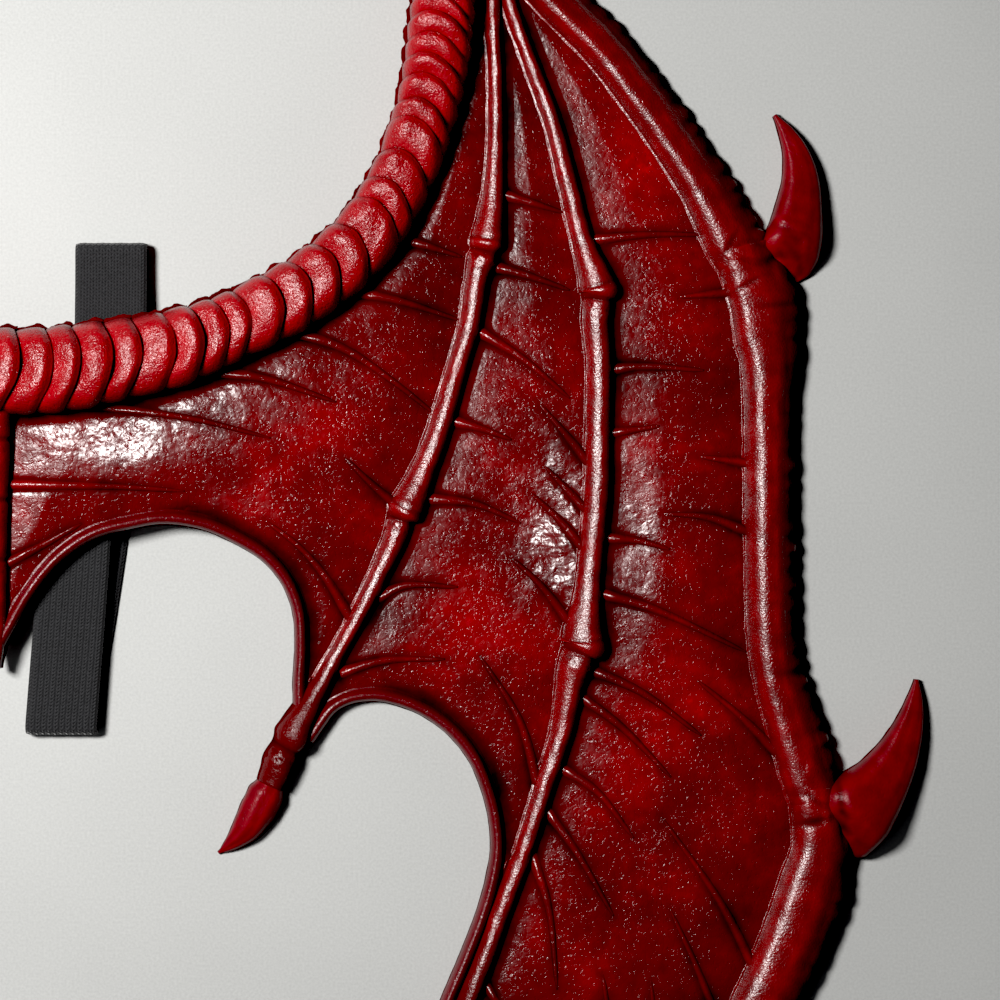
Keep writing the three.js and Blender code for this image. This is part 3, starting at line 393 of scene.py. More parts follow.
class Shape:
    """Points, quads and triangles of one piece, with a number or two for each point."""

    def __init__(self):
        self.points, self.quads, self.triangles = [], [], []
        self.marks = {"shade": [], "along": [], "around": []}
        self.count = 0

    def add(self, points, quads=(), triangles=(), **marks):
        flat = np.asarray(points, float).reshape(-1, 3)
        for name, kept in self.marks.items():
            given = marks.get(name, 0.0)
            kept.append(np.broadcast_to(given, len(flat)) if np.ndim(given) == 0 else np.ravel(given))
        self.points.append(flat)
        if len(quads):
            self.quads.append(np.asarray(quads) + self.count)
        if len(triangles):
            self.triangles.append(np.asarray(triangles) + self.count)
        self.count += len(flat)
        return self

    def sweep(self, rings, **marks):
        """A closed skin over rings, an array of rings by points by three."""
        rows, count = rings.shape[:2]
        at = np.arange(rows * count).reshape(rows, count)
        ahead = np.roll(at, -1, axis=1)
        quads = np.stack([at[:-1], ahead[:-1], ahead[1:], at[1:]], -1).reshape(-1, 4)
        fan = np.arange(1, count - 1)
        first = np.stack([np.zeros_like(fan), fan + 1, fan], 1)
        last = (rows - 1) * count + np.stack([np.zeros_like(fan), fan, fan + 1], 1)
        return self.add(rings, quads, np.vstack([first, last]), **marks)

    def objects(self, name, node, slot, look, sides=(1, -1)):
        points = np.vstack(self.points)
        quads = np.vstack(self.quads) if self.quads else np.zeros((0, 4), int)
        triangles = np.vstack(self.triangles) if self.triangles else np.zeros((0, 3), int)
        for sign in sides:
            ending = "" if len(sides) == 1 else ("_right" if sign > 0 else "_left")
            mesh = bpy.data.meshes.new(name + ending)
            placed = (points - (0, SHIFT, 0)) * (sign / 1000, 0.001, 0.001)
            turn = slice(None, None, sign)
            mesh.vertices.add(len(placed))
            mesh.vertices.foreach_set("co", placed.ravel())
            corners = np.concatenate([quads[:, turn].ravel(), triangles[:, turn].ravel()])
            sizes = np.repeat([4, 3], [len(quads), len(triangles)])
            mesh.loops.add(len(corners))
            mesh.loops.foreach_set("vertex_index", corners.astype(np.int32))
            mesh.polygons.add(len(sizes))
            mesh.polygons.foreach_set("loop_start", np.cumsum(sizes) - sizes)
            mesh.update(calc_edges=True)
            mesh.validate()
            mesh.polygons.foreach_set("use_smooth", np.ones(len(mesh.polygons), bool))
            for mark, kept in self.marks.items():
                layer = mesh.attributes.new(mark, "FLOAT", "POINT")
                layer.data.foreach_set("value", np.concatenate(kept).astype(np.float32))
            mesh.materials.append(look)
            piece = bpy.data.objects.new(name + ending, mesh)
            bpy.context.scene.collection.objects.link(piece)
            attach(piece, "root")
            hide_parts(node + ending)


def nearest(points, route, right, left):
    """Distance from places to the edge of a form that stands on a route, less than none inside it."""
    tree = kdtree.KDTree(len(route.centre))
    for i, (x, y) in enumerate(route.centre.tolist()):
        tree.insert((x, y, 0.0), i)
    tree.balance()
    found = [tree.find((x, y, 0.0)) for x, y in points.tolist()]
    index = np.array([f[1] for f in found])
    away = np.array([f[2] for f in found])
    aside = np.einsum("ij,ij->i", points - route.centre[index], route.side[index])
    return away - np.where(aside > 0, right[index], left[index]), index


# Routes of the right side, with the half width to each side of them and the height of each form.
arm_route = Route(ARM_ROWS, ["wide"], 0.25)
inner_finger = Route(INNER_FINGER_ROWS, ["wide"])
middle_finger = Route(MIDDLE_FINGER_ROWS, ["wide"])
leading_tables = (LEADING_UPPER_ROWS, LEADING_MIDDLE_ROWS, LEADING_LOWER_ROWS)
leading_routes = [Route(rows, ["inner", "outer"], 0.7) for rows in leading_tables]
hem_routes = [Route(rows) for rows in (INNER_HEM_ROWS, MIDDLE_HEM_ROWS, OUTER_HEM_ROWS)]
spine_route = Route(SPINE_ROWS, ["wide"])


def finger_half(route):
    return route.wide * FINGER_WIDTH / 2


def above(route, rise):
    return route.centre[route.centre[:, 1] > rise * WING_HEIGHT][::4]


leading_line = np.vstack([above(route, OUTER_HEM_ROWS[-1][1]) for route in leading_routes])
OUTLINES = {
    "inner": np.vstack([
        arm_route.centre[::-16], hem_routes[0].centre[::4],
        above(inner_finger, INNER_HEM_ROWS[-1][1])[::-1],
    ]),
    "middle": np.vstack([
        above(inner_finger, MIDDLE_HEM_ROWS[0][1]), hem_routes[1].centre[::4],
        above(middle_finger, MIDDLE_HEM_ROWS[-1][1])[::-1],
    ]),
    "outer": np.vstack([
        above(middle_finger, OUTER_HEM_ROWS[0][1]), hem_routes[2].centre[::4], leading_line[::-1],
    ]),
}


def forms_round(which):
    """Route, half widths, and depth and width of the moat of each form round a membrane."""
    fingers = [(r, finger_half(r), finger_half(r), *BONE_MOAT) for r in (inner_finger, middle_finger)]
    arm_half = arm_route.wide * ARM_WIDTH / 2 * 0.95
    hem = hem_routes[["inner", "middle", "outer"].index(which)]
    width = np.full(len(hem.centre), HEM_WIDTH / 2)
    rolled = (hem, width, width, *HEM_MOAT)
    if which == "inner":
        return [(arm_route, arm_half, arm_half, *ARM_MOAT), fingers[0], rolled]
    if which == "middle":
        return [*fingers, rolled]
    leading = [(r, r.inner * LEADING_WIDTH, r.outer * LEADING_WIDTH, *BONE_MOAT) for r in leading_routes]
    return [fingers[1], *leading, rolled]


class Membrane:
    """A thin swelling sheet as heights on a grid, with its veins raised on it."""

    def __init__(self, which, vein_lists):
        outline = OUTLINES[which]
        low = outline.min(0) - 4 * GRID
        counts = np.ceil((outline.max(0) + 4 * GRID - low) / (2 * GRID)).astype(int)
        self.low = low
        xs = low[0] + GRID * np.arange(2 * counts[0] + 1)
        ys = low[1] + GRID * np.arange(2 * counts[1] + 1)
        self.x, self.y = np.meshgrid(xs, ys)
        inside, away = self.outline_distance(outline)
        away = np.where(inside, away, -away)
        self.kept = away[::2, ::2] > -OUTLINE_SPARE
        near = away > -4 * GRID
        places = np.stack([self.x[near], self.y[near]], 1)
        swell = BILLOW_HEIGHT * np.sin(np.clip(away[near] / BILLOW_REACH, 0, 1) * math.pi / 2)
        height = MEMBRANE_THICKNESS + swell
        gap = np.full(len(places), 99.0)
        for route, right, left, depth, width in forms_round(which):
            here, index = nearest(places, route, right, left)
            away_from = places - route.centre[index]
            facing = away_from @ LAMP_WAY / np.maximum(np.linalg.norm(away_from, axis=1), 0.1)
            lit = smoothstep(facing, 0.0, 0.5)
            height -= depth * (1 - lit) * falloff(np.maximum(here, 0), width)
            # Places on the side of a form that faces the lamp count as far from it, so the painted shade
            # below leaves them out.
            gap = np.minimum(gap, here + 5 * lit)
        self.veins = [Route(rows, step=0.8) for rows in vein_lists]
        vein_shade = np.ones(len(places))
        for route in self.veins:
            left = 1 - VEIN_TAPER * route.share
            here, index = nearest(places, route, left * VEIN_WIDTH / 2, left * VEIN_WIDTH / 2)
            scale = left[index]
            beyond = np.maximum(here, 0)
            height -= 0.5 * scale * falloff(beyond, 1.3)
            # Painted shade beside the veins.
            vein_shade = np.minimum(vein_shade, 1 - 0.75 * scale * falloff(beyond, 1.8))
        for across, rise, reach_x, reach_y, inward, upward in LEANS:
            right, up = from_place(*places.T, across, rise)
            lift = inward * reach_x * np.tanh(right / reach_x) - upward * LEAN_RUN * np.tanh(up / LEAN_RUN)
            height += lift * falloff(right, reach_x * 2.2, up, reach_y)
        wrinkled = np.zeros(len(places))
        for across, rise, reach_x, reach_y, slope in WRINKLED:
            right, up = from_place(*places.T, across, rise)
            wrinkled += slope * falloff(right, reach_x, up, reach_y)
        wrinkled *= 0.75 + 0.5 * noise_at(*places.T, 9.0, 6.0)
        open_share = smoothstep(gap, 0, 5)
        for high, size, seed in LUMPS:
            height += open_share * high * noise_at(*places.T, size, seed)
        bright = np.zeros(len(places))
        for across, rise, reach, strength in BRIGHT_PLACES:
            right, up = from_place(*places.T, across, rise)
            bright += strength * falloff(right, reach, up, reach)
        self.known, self.inside = near, inside
        self.height = self.spread(np.maximum(height, THINNEST))
        # Darker near the forms round the sheet and beside the veins: painted shade, together with an
        # airbrushed dark wash near the bones.
        self.shade = self.spread((0.15 + 0.85 * smoothstep(gap, -1.0, 7.0)) * vein_shade)
        self.bright = self.spread(bright)
        self.wrinkled = self.spread(wrinkled)

    def spread(self, values):
        """Values of the known points, on the whole grid."""
        grid = np.zeros(self.x.shape)
        grid[self.known] = values
        return grid

    def outline_distance(self, outline):
        inside = np.zeros(self.x.shape, bool)
        least = np.full(self.x.shape, 1e9)
        for (ax, ay), (bx, by) in zip(outline.tolist(), np.roll(outline, -1, axis=0).tolist()):
            dx, dy = bx - ax, by - ay
            size = dx * dx + dy * dy
            if size == 0:
                continue
            share = np.clip(((self.x - ax) * dx + (self.y - ay) * dy) / size, 0, 1)
            least = np.minimum(least, (self.x - ax - share * dx) ** 2 + (self.y - ay - share * dy) ** 2)
            if ay != by:
                crosses = (self.y > min(ay, by)) & (self.y <= max(ay, by))
                inside ^= crosses & (self.x < ax + (self.y - ay) * dx / dy)
        return inside, np.sqrt(least)

    def level(self, x, y, within):
        """Height of the sheet above its back at places, and which of them are within a mask."""
        column = np.clip((x - self.low[0]) / GRID, 0, self.x.shape[1] - 1.001)
        row = np.clip((y - self.low[1]) / GRID, 0, self.x.shape[0] - 1.001)
        i, j = column.astype(int), row.astype(int)
        u, v = column - i, row - j
        h = self.height
        known = within[j, i] & within[j + 1, i] & within[j, i + 1] & within[j + 1, i + 1]
        known &= (x > self.low[0]) & (x < self.x[0, -1]) & (y > self.low[1]) & (y < self.y[-1, 0])
        value = (h[j, i] * (1 - u) * (1 - v) + h[j, i + 1] * u * (1 - v)
                 + h[j + 1, i] * (1 - u) * v + h[j + 1, i + 1] * u * v)
        return value, known

    def shape(self):
        rows, columns = self.x.shape
        corner = self.kept[:-1, :-1] & self.kept[1:, :-1] & self.kept[:-1, 1:] & self.kept[1:, 1:]
        fine = np.repeat(np.repeat(corner, 2, 0), 2, 1)
        top = np.arange(rows * columns).reshape(rows, columns)
        quads = np.stack([top[:-1, :-1], top[:-1, 1:], top[1:, 1:], top[1:, :-1]], -1)[fine]
        arch = arch_at(self.x, self.y)
        points = np.stack([self.x, self.y, arch + self.height], -1).reshape(-1, 3)
        back = np.stack([self.x, self.y, arch + BACK_RECESS], -1)[::2, ::2].reshape(-1, 3)
        low = rows * columns + np.arange(len(back)).reshape(corner.shape[0] + 1, corner.shape[1] + 1)
        back_quads = np.stack([low[:-1, :-1], low[1:, :-1], low[1:, 1:], low[:-1, 1:]], -1)[corner]
        walls = []
        padded = np.pad(corner, 1)
        for j, i in zip(*np.nonzero(corner)):
            for dj, di, start, end in ((-1, 0, (0, 0), (0, 1)), (0, 1, (0, 1), (1, 1)),
                                       (1, 0, (1, 1), (1, 0)), (0, -1, (1, 0), (0, 0))):
                if padded[j + 1 + dj, i + 1 + di]:
                    continue
                a, b = (j + start[0], i + start[1]), (j + end[0], i + end[1])
                top_a, top_b = top[2 * a[0], 2 * a[1]], top[2 * b[0], 2 * b[1]]
                middle = top[a[0] + b[0], a[1] + b[1]]
                walls += [(top_a, low[a], middle), (middle, low[a], low[b]), (middle, low[b], top_b)]
        used = np.unique(np.concatenate([quads.ravel(), back_quads.ravel(), np.ravel(walls)]).astype(int))
        new = np.zeros(len(points) + len(back), int)
        new[used] = np.arange(len(used))
        every = np.vstack([points, back])
        every[:, 0] = np.maximum(every[:, 0], CLEARANCE / 2)
        zeros = np.zeros(len(back))
        shade = np.concatenate([self.shade.ravel(), zeros + 0.5])
        bright = np.concatenate([self.bright.ravel(), zeros])
        wrinkled = np.concatenate([self.wrinkled.ravel(), zeros])
        made = Shape()
        all_quads = np.vstack([new[quads], new[back_quads]])
        made.add(every[used], all_quads, new[np.array(walls)], shade=shade[used], along=bright[used],
                 around=wrinkled[used])
        for route in self.veins:
            self.add_vein(made, route)
        return made

    def add_vein(self, made, route):
        """A low ridge that narrows and sinks towards its tip, with its foot in the sheet."""
        left = 1 - VEIN_TAPER * route.share
        left = left * smoothstep(route.share, 1.02, 0.9)
        wobble = 1 + 0.12 * noise_at(route.length, route.centre[0, 0], 5.0, 4.0)
        half = (0.25 + VEIN_WIDTH / 2 * left * wobble)[:, None]
        side, up = np.array(VEIN_SECTION + [(-aside, high) for aside, high in VEIN_SECTION[::-1]]).T
        places = route.beside(side * half)
        level, known = self.level(places[..., 0], places[..., 1], self.known)
        level = np.where(known, level, MEMBRANE_THICKNESS)
        high = (VEIN_HEIGHT * 0.95 * left * wobble)[:, None]
        z = arch_at(places[..., 0], places[..., 1]) + level + up * high
        # Painted shade at the vein's foot and lighter red on its top; the along mark lightens the red
        # further, a painted highlight along the vein that fades towards its tip.
        shade = np.clip(0.35 + 0.5 * up, 0, 1) + 0 * z
        places[..., 0] = np.maximum(places[..., 0], CLEARANCE / 2)
        made.sweep(raised(places, z), shade=shade, along=0.6 * left[:, None] + 0 * z)


membranes = {
    "inner": Membrane("inner", INNER_VEINS),
    "middle": Membrane("middle", MIDDLE_VEINS),
    "outer": Membrane("outer", OUTER_VEINS),
}


def foot_at(places):
    """Level that a form's foot meets, above the back, and whether a membrane is there."""
    level = np.full(places.shape[:-1], LIP_THICKNESS)
    met = np.zeros(places.shape[:-1], bool)
    for sheet in membranes.values():
        value, known = sheet.level(places[..., 0], places[..., 1], sheet.inside)
        level = np.where(known & ~met, value + 0.05, level)
        met |= known
    return level, met


def joint_folds(x, y):
    """How far the folds and lumps round the leading bone's joints stand out at places."""
    total = np.zeros(np.shape(x))
    for across, rise, turn, length, width, high in JOINT_FOLDS:
        right, up = from_place(x, y, across, rise)
        cos, sin = math.cos(math.radians(turn)), math.sin(math.radians(turn))
        along, beside = right * cos + up * sin, up * cos - right * sin
        total += high * falloff(along, length, beside, width)
    return total


def bone_shape(route, right, left, height, power=2.4, lip=(0.0, 0.0), relief=None, points=21, low_side=None,
               folded=False, lean=BONE_LEAN, row_tone_scale=1.0):
    """A bone with a flat back: its foot runs out in a fillet on a membrane, or in a trimmed lip."""
    count = len(route.centre)
    ragged = 0.6 + 0.5 * noise_at(route.length, route.centre[0, 0], 4.0, 5.0)
    foot = {}
    facing = route.side @ LAMP_WAY
    lit = {"right": smoothstep(facing, -0.2, 0.5), "left": smoothstep(-facing, -0.2, 0.5)}
    for key, sign, half, lip_width in (("right", 1, right, lip[0]), ("left", -1, left, lip[1])):
        level, met = foot_at(route.beside((sign * (half + 0.6))[:, None])[:, 0])
        skirt = np.where(met, SKIRT * (0.55 + 0.6 * ragged), np.maximum(lip_width * ragged, 0.15))
        start = np.clip((level + 0.7) / height, 0.02, 0.85)
        foot[key] = (level, skirt, np.arcsin(start ** (power / 2)), met)
    share = np.linspace(0, 1, points)[None]
    angle = blend(foot["right"][2][:, None], math.pi - foot["left"][2][:, None], share)
    side = np.sign(np.cos(angle)) * np.abs(np.cos(angle)) ** (2 / power)
    up = np.sin(angle) ** (2 / power)
    side_lit = np.where(side > 0, lit["right"][:, None], lit["left"][:, None])
    # Painted shade: the flanks are darker towards the foot and the crest lighter, with less darkening on the
    # side that faces the lamp.
    shade = 1 - 0.75 * (1 - smoothstep(up, 0.3, 0.85)) * (1 - 0.7 * side_lit)
    if low_side is not None:
        boxy = (1 - np.abs(side) ** 6) ** (1 / 6)
        fall = blend(1, np.reshape(low_side, (-1, 1)), np.clip(-side, 0, 1) ** 1.4)
        up = np.where(side < 0, boxy * fall, up)
        # Painted shade: the outer flank is darker towards its edge.
        shade = np.where(side < 0, blend(1, 0.6, smoothstep(-side, 0.4, 0.95)), shade)
    aside = side * np.where(side > 0, right[:, None], left[:, None])
    high = up * (height[:, None] - lean * aside * facing[:, None])
    if relief is not None:
        moved, aside = relief(route, side, aside)
        if folded:
            place = route.beside(aside)
            moved = moved + joint_folds(place[..., 0], place[..., 1]) * smoothstep(high, 1.5, 4.0)
        high = np.maximum(high + moved, 0.4)
        # Painted shade in the grooves and painted light on raised folds.
        shade = shade * np.clip(1 + moved * 0.5, 0.3, 1.15)
    columns = []
    for key, sign in (("right", 1), ("left", -1)):
        level, skirt = foot[key][:2]
        edge = aside[:, 0] if sign > 0 else aside[:, -1]
        top = high[:, 0] if sign > 0 else high[:, -1]
        # Colour of the foot: painted highlight on a fillet that faces the lamp, painted shade on one turned
        # away; a trimmed lip is darker.
        tone = np.where(foot[key][3], blend(0.25, 0.95, lit[key]), 0.32)
        outer = [(edge + sign * skirt, np.zeros(count), tone)]
        outer += [(edge + sign * skirt * out, blend(level, top, rise), tone) for out, rise in FILLET]
        columns.append(outer if sign > 0 else outer[::-1])
    # Each row's tone can be scaled down, which darkens the paint and dulls its gloss.
    middle = (aside, high, shade * np.reshape(row_tone_scale, (-1, 1)))
    aside, high, shade = (
        np.column_stack([c[k] for c in [*columns[0], middle, *columns[1]]]) for k in range(3)
    )
    places = route.beside(aside)
    if route.centre[-1, 0] > CLEARANCE:
        places[..., 0] = np.maximum(places[..., 0], CLEARANCE / 2)
    z = arch_at(places[..., 0], places[..., 1]) + high
    along = np.broadcast_to(route.length[:, None], z.shape)
    return Shape().sweep(raised(places, z), shade=shade, along=along, around=aside)


def groove(route, places, depth, width=0.7, ahead=0.0):
    """Rings cut round a bone at places counted in rows of its table, or a little ahead of them."""
    cut = np.zeros(len(route.length))
    for place in places:
        cut -= depth * falloff(route.length - route.length_at(place) - ahead, width)
    return cut


def finger_relief(grooves, collars=()):
    """Grooves under the knuckles, raised collars just before them, and wrinkles after them."""
    def relief(route, side, aside):
        noisy = noise_at(route.length[:, None], side * 7, 5.0, 6.0)
        folds = np.zeros_like(side)
        for place in grooves:
            ahead = route.length[:, None] - route.length_at(place)
            patches = smoothstep(noise_at(ahead, side * 5, 1.6, 7.0), 0.1, 0.5)
            folds -= 0.5 * falloff(ahead - 4.0, 4.0) * patches
        ring = groove(route, collars, -1.0, 1.2, -2.4)[:, None]
        cut = groove(route, grooves, 1.1) + groove(route, collars, 0.5, 0.6, -4.6)
        cut = cut[:, None] * (1 - 0.25 * side**2)
        return 0.22 * noisy + folds + cut + 0.6 * ring, aside * (1 + 0.03 * noisy + 0.07 * ring)
    return relief


def leading_relief(joint_start, joint_end):
    """Teeth on the outer side, long streaks beside the crest, and slanting folds near the joints."""
    def relief(route, side, aside):
        length = route.length[:, None]
        pitch = length / TOOTH_PITCH + 0.4 * noise_at(length, 3.0, 13.0, 8.0)
        tooth = np.sin(math.pi * (pitch % 1.0) ** 1.3) ** 0.6
        tooth = tooth * np.clip(0.75 + 0.9 * noise_at(length, 6.0, 11.0, 15.0), 0.15, 1.2)
        moved = 0.25 * noise_at(length, side * 9, 6.0, 9.0)
        moved += 0.3 * falloff(side + 0.4, 0.07) * (0.5 + noise_at(length, side, 9.0, 10.0))
        moved -= 0.35 * falloff(side + 0.68, 0.09) * (0.7 + noise_at(length, side, 12.0, 11.0))
        moved -= 0.8 * smoothstep(-side, 0.5, 1.0) * (1 - tooth)
        near = joint_start * falloff(length, 9.0) + joint_end * falloff(length[-1] - length, 9.0)
        slant = 0.55 * length + 0.35 * aside
        folds = smoothstep(np.sin(slant * 1.25 + 2.2 * noise_at(length, aside, 7.0, 12.0)), 0.2, 0.95)
        moved -= 0.5 * near * folds
        return moved, aside - smoothstep(-side, 0.85, 1.0) * (1.1 * tooth - 0.4)
    return relief


def horn_relief(route, side, aside):
    ridges = 0.18 * np.sin(side * 9 + 1.5 * noise_at(route.length[:, None], side, 14.0, 13.0))
    rings = 0.16 * noise_at(route.length[:, None], side * 4, 3.5, 14.0)
    fade = smoothstep(route.share[:, None], 1.0, 0.75)
    return (ridges + rings) * fade, aside


def claw_route(rows):
    """A claw carries on from the end of a bone and curls towards the middle."""
    route = Route(rows)
    end, tangent, side = route.centre[-1], route.tangent[-1], route.side[-1]
    places = [
        (*(end + tangent * (along * CLAW_LENGTH + CLEARANCE) + side * aside * CLAW_LENGTH), wide, high)
        for along, aside, wide, high in CLAW_ROWS
    ]
    return Route(places, ["wide", "high"], 0.5, unit=(1, 1))


def arm_shape():
    """The arm roll: each scale swells to a raised edge, bent back, and the next starts below it."""
    chance = np.random.default_rng(11)
    route = arm_route
    edges, start = [(0.0, 1.0, 1.0)], 0.0
    for k in range(1000):
        length, cut = SCALES[k] if k < len(SCALES) else (SCALE_LENGTH_AT_WRIST, 0.9)
        start += length
        if start > route.length[-1]:
            break
        edges.append((start, chance.uniform(0.965, 1.02), cut))
    angle = np.linspace(0, math.pi, 41)
    side = np.sign(np.cos(angle)) * np.abs(np.cos(angle)) ** (2 / 3)
    up = np.sin(angle) ** (2 / 3)
    rings, shades, alongs = [], [], []
    for k, (start, high_share, cut) in enumerate(edges[:-1]):
        end, _, end_cut = edges[k + 1]
        for u in WITHIN_SCALE:
            length = blend(start - 0.3 * cut, end + 0.25 * end_cut, u)
            swell = 1 - (SCALE_STEP + 0.03) * cut * (1 - u) ** 2.2
            swell += 0.02 * math.sin(u * math.pi) - 0.085 * end_cut * smoothstep(u, 0.7, 1.0) ** 2
            ragged = 0.45 * np.array([noise.noise((s * 2.2, k * 3.1, 0.5)) for s in side])
            sweep = SCALE_SWEEP * (side + SCALE_APEX) ** 2
            at = np.clip(length, 0, route.length[-1])
            over = length - at
            centre, tangent = (
                np.array([np.interp(at, route.length, line[:, i]) for i in (0, 1)])
                for line in (route.centre, route.tangent)
            )
            across = np.array([tangent[1], -tangent[0]])
            wide = np.interp(at, route.length, route.wide)
            lump = 1 + 0.045 * np.array([noise.noise((s * 2.4 + 9, k * 2.3, u * 2.0)) for s in side])
            share = swell * high_share
            aside = side * wide * ARM_WIDTH / 2 * (1 - (1 - share) / 2)
            place = centre + across * aside[:, None] + tangent * (over + ragged * u - sweep)[:, None]
            z = up * ARM_HEIGHT * share * math.sqrt(wide) * lump
            z = np.maximum(z, np.where(side < 0, LIP_THICKNESS, 0))
            lip = 1.1 + 1.1 * noise.noise((length / 3.5, 0.3, 0.7))
            lip += 0.4 * noise.noise((length / 1.2, 5.3, 0.7))
            rim = place[-1] - across * max(lip, 0.2)
            place = np.vstack([place, rim, rim])
            z = np.concatenate([z, [LIP_THICKNESS * 0.8, 0.0]])
            rings.append(raised(place, z + arch_at(*place.T)))
            # Painted shade: darker in the groove where each scale starts, on the low flanks and just before
            # the cut edge; the trimmed lip is darker too.
            shade = (0.3 + 0.7 * smoothstep(u, -0.05, 0.14)) * (0.45 + 0.55 * smoothstep(up, 0.2, 0.8))
            shade = shade * (1 - 0.35 * end_cut * smoothstep(u, 0.96, 1.0))
            shades.append(np.concatenate([shade, [0.5, 0.4]]))
            alongs.append(np.full(len(place), length))
    rings = np.array(rings)
    around = np.broadcast_to(np.concatenate([side, [-1.05, -1.1]]) * 15.0, rings.shape[:2])
    rings[..., 0] = np.maximum(rings[..., 0], CLEARANCE / 2)
    return Shape().sweep(rings, shade=np.array(shades), along=np.array(alongs), around=around)


def wrist_shape():
    x, y = WRIST_PLACE[0] * HALF_SPAN, WRIST_PLACE[1] * WING_HEIGHT
    turn = np.linspace(0, 2 * math.pi, 96, endpoint=False)
    tilt = np.linspace(0, math.pi / 2, 30)[:-1]
    rings = []
    for angle in tilt:
        out = WRIST_RADIUS * math.cos(angle) ** 0.7
        up = WRIST_HEIGHT * math.sin(angle) ** 0.8
        ways = [(math.cos(t), math.sin(t), t) for t in turn]
        bulge = 1 + 0.03 * np.array([noise.noise((c * 1.5, s * 1.5, angle * 2)) for c, s, _ in ways])
        waves = np.array([math.sin(t * 5 + 3 * noise.noise((c, s, 4 + angle))) for c, s, t in ways])
        fold = 1 - 0.05 * smoothstep(waves, 0.4, 1.0) * math.sin(angle * 2)
        rings.append(np.column_stack([
            x + np.cos(turn) * out * bulge, y + np.sin(turn) * out * bulge, up * bulge * fold,
        ]))
    rings = np.array(rings)
    # Painted shade: darker towards the foot of the knob.
    shade = 0.25 + 0.75 * smoothstep(rings[..., 2] / WRIST_HEIGHT, 0.1, 0.8)
    along = np.broadcast_to(turn * 15, shade.shape)
    return Shape().sweep(rings, shade=shade, along=along, around=rings[..., 2])


def strap_shape():
    """An elastic strap: a flat ribbon that folds back on itself twice."""
    half = STRAP_THICKNESS / 2

    def back_over(x, y):
        return np.minimum(arch_at(x - STRAP_WIDTH / 2, y), arch_at(x + STRAP_WIDTH / 2, y))

    def held(rows):
        places = []
        for across, rise, high in rows:
            x, y = across * HALF_SPAN, rise * WING_HEIGHT
            places.append((x, y, blend(half + STRAP_FOLD, float(back_over(x, y)) - CLEARANCE - half, high)))
        return places

    def fold(row, turn, outward):
        x, y = row[0] * HALF_SPAN, row[1] * WING_HEIGHT
        angles = (np.arange(1, 8) / 8) * math.pi
        middle = half + STRAP_FOLD / 2
        arc = STRAP_FOLD / 2 * np.stack([outward * np.sin(angles), turn * np.cos(angles)], 1)
        return [(x, y + ahead, middle + up) for ahead, up in arc]

    ground = [(across * HALF_SPAN, rise * WING_HEIGHT, half) for across, rise in STRAP_GROUND_ROWS]
    control = np.array(held(STRAP_UPPER_ROWS) + fold(STRAP_GROUND_ROWS[0], 1, 1) + ground
                       + fold(STRAP_GROUND_ROWS[-1], -1, -1) + held(STRAP_LOWER_ROWS))
    keep = np.concatenate([[True], np.linalg.norm(np.diff(control, axis=0), axis=1) > 0.05])
    line, _ = smooth_line(control[keep], 12)
    line[:, 2] = np.maximum(line[:, 2], half)
    ahead = np.gradient(line, axis=0)
    ahead /= np.linalg.norm(ahead, axis=1)[:, None]
    out = np.stack([np.zeros(len(line)), -ahead[:, 2], ahead[:, 1]], 1)
    out /= np.linalg.norm(out, axis=1)[:, None]
    across = np.concatenate([np.linspace(1, -1, 17), np.linspace(-1, 1, 17)])
    face = np.concatenate([np.ones(17), -np.ones(17)]) * np.where(np.abs(across) > 0.999, 0.45, 1.0)
    rib = 1 - 0.12 * np.cos(across * math.pi * 6) ** 2
    rings = line[:, None] + out[:, None] * (face * rib * half)[None, :, None]
    rings[..., 0] += across * STRAP_WIDTH / 2
    run = np.concatenate([[0], np.cumsum(np.linalg.norm(np.diff(line, axis=0), axis=1))])
    along = np.broadcast_to(run[:, None], rings.shape[:2])
    around = np.broadcast_to(across * STRAP_WIDTH / 2, rings.shape[:2])
    return Shape().sweep(rings, shade=1.0, along=along, around=around)


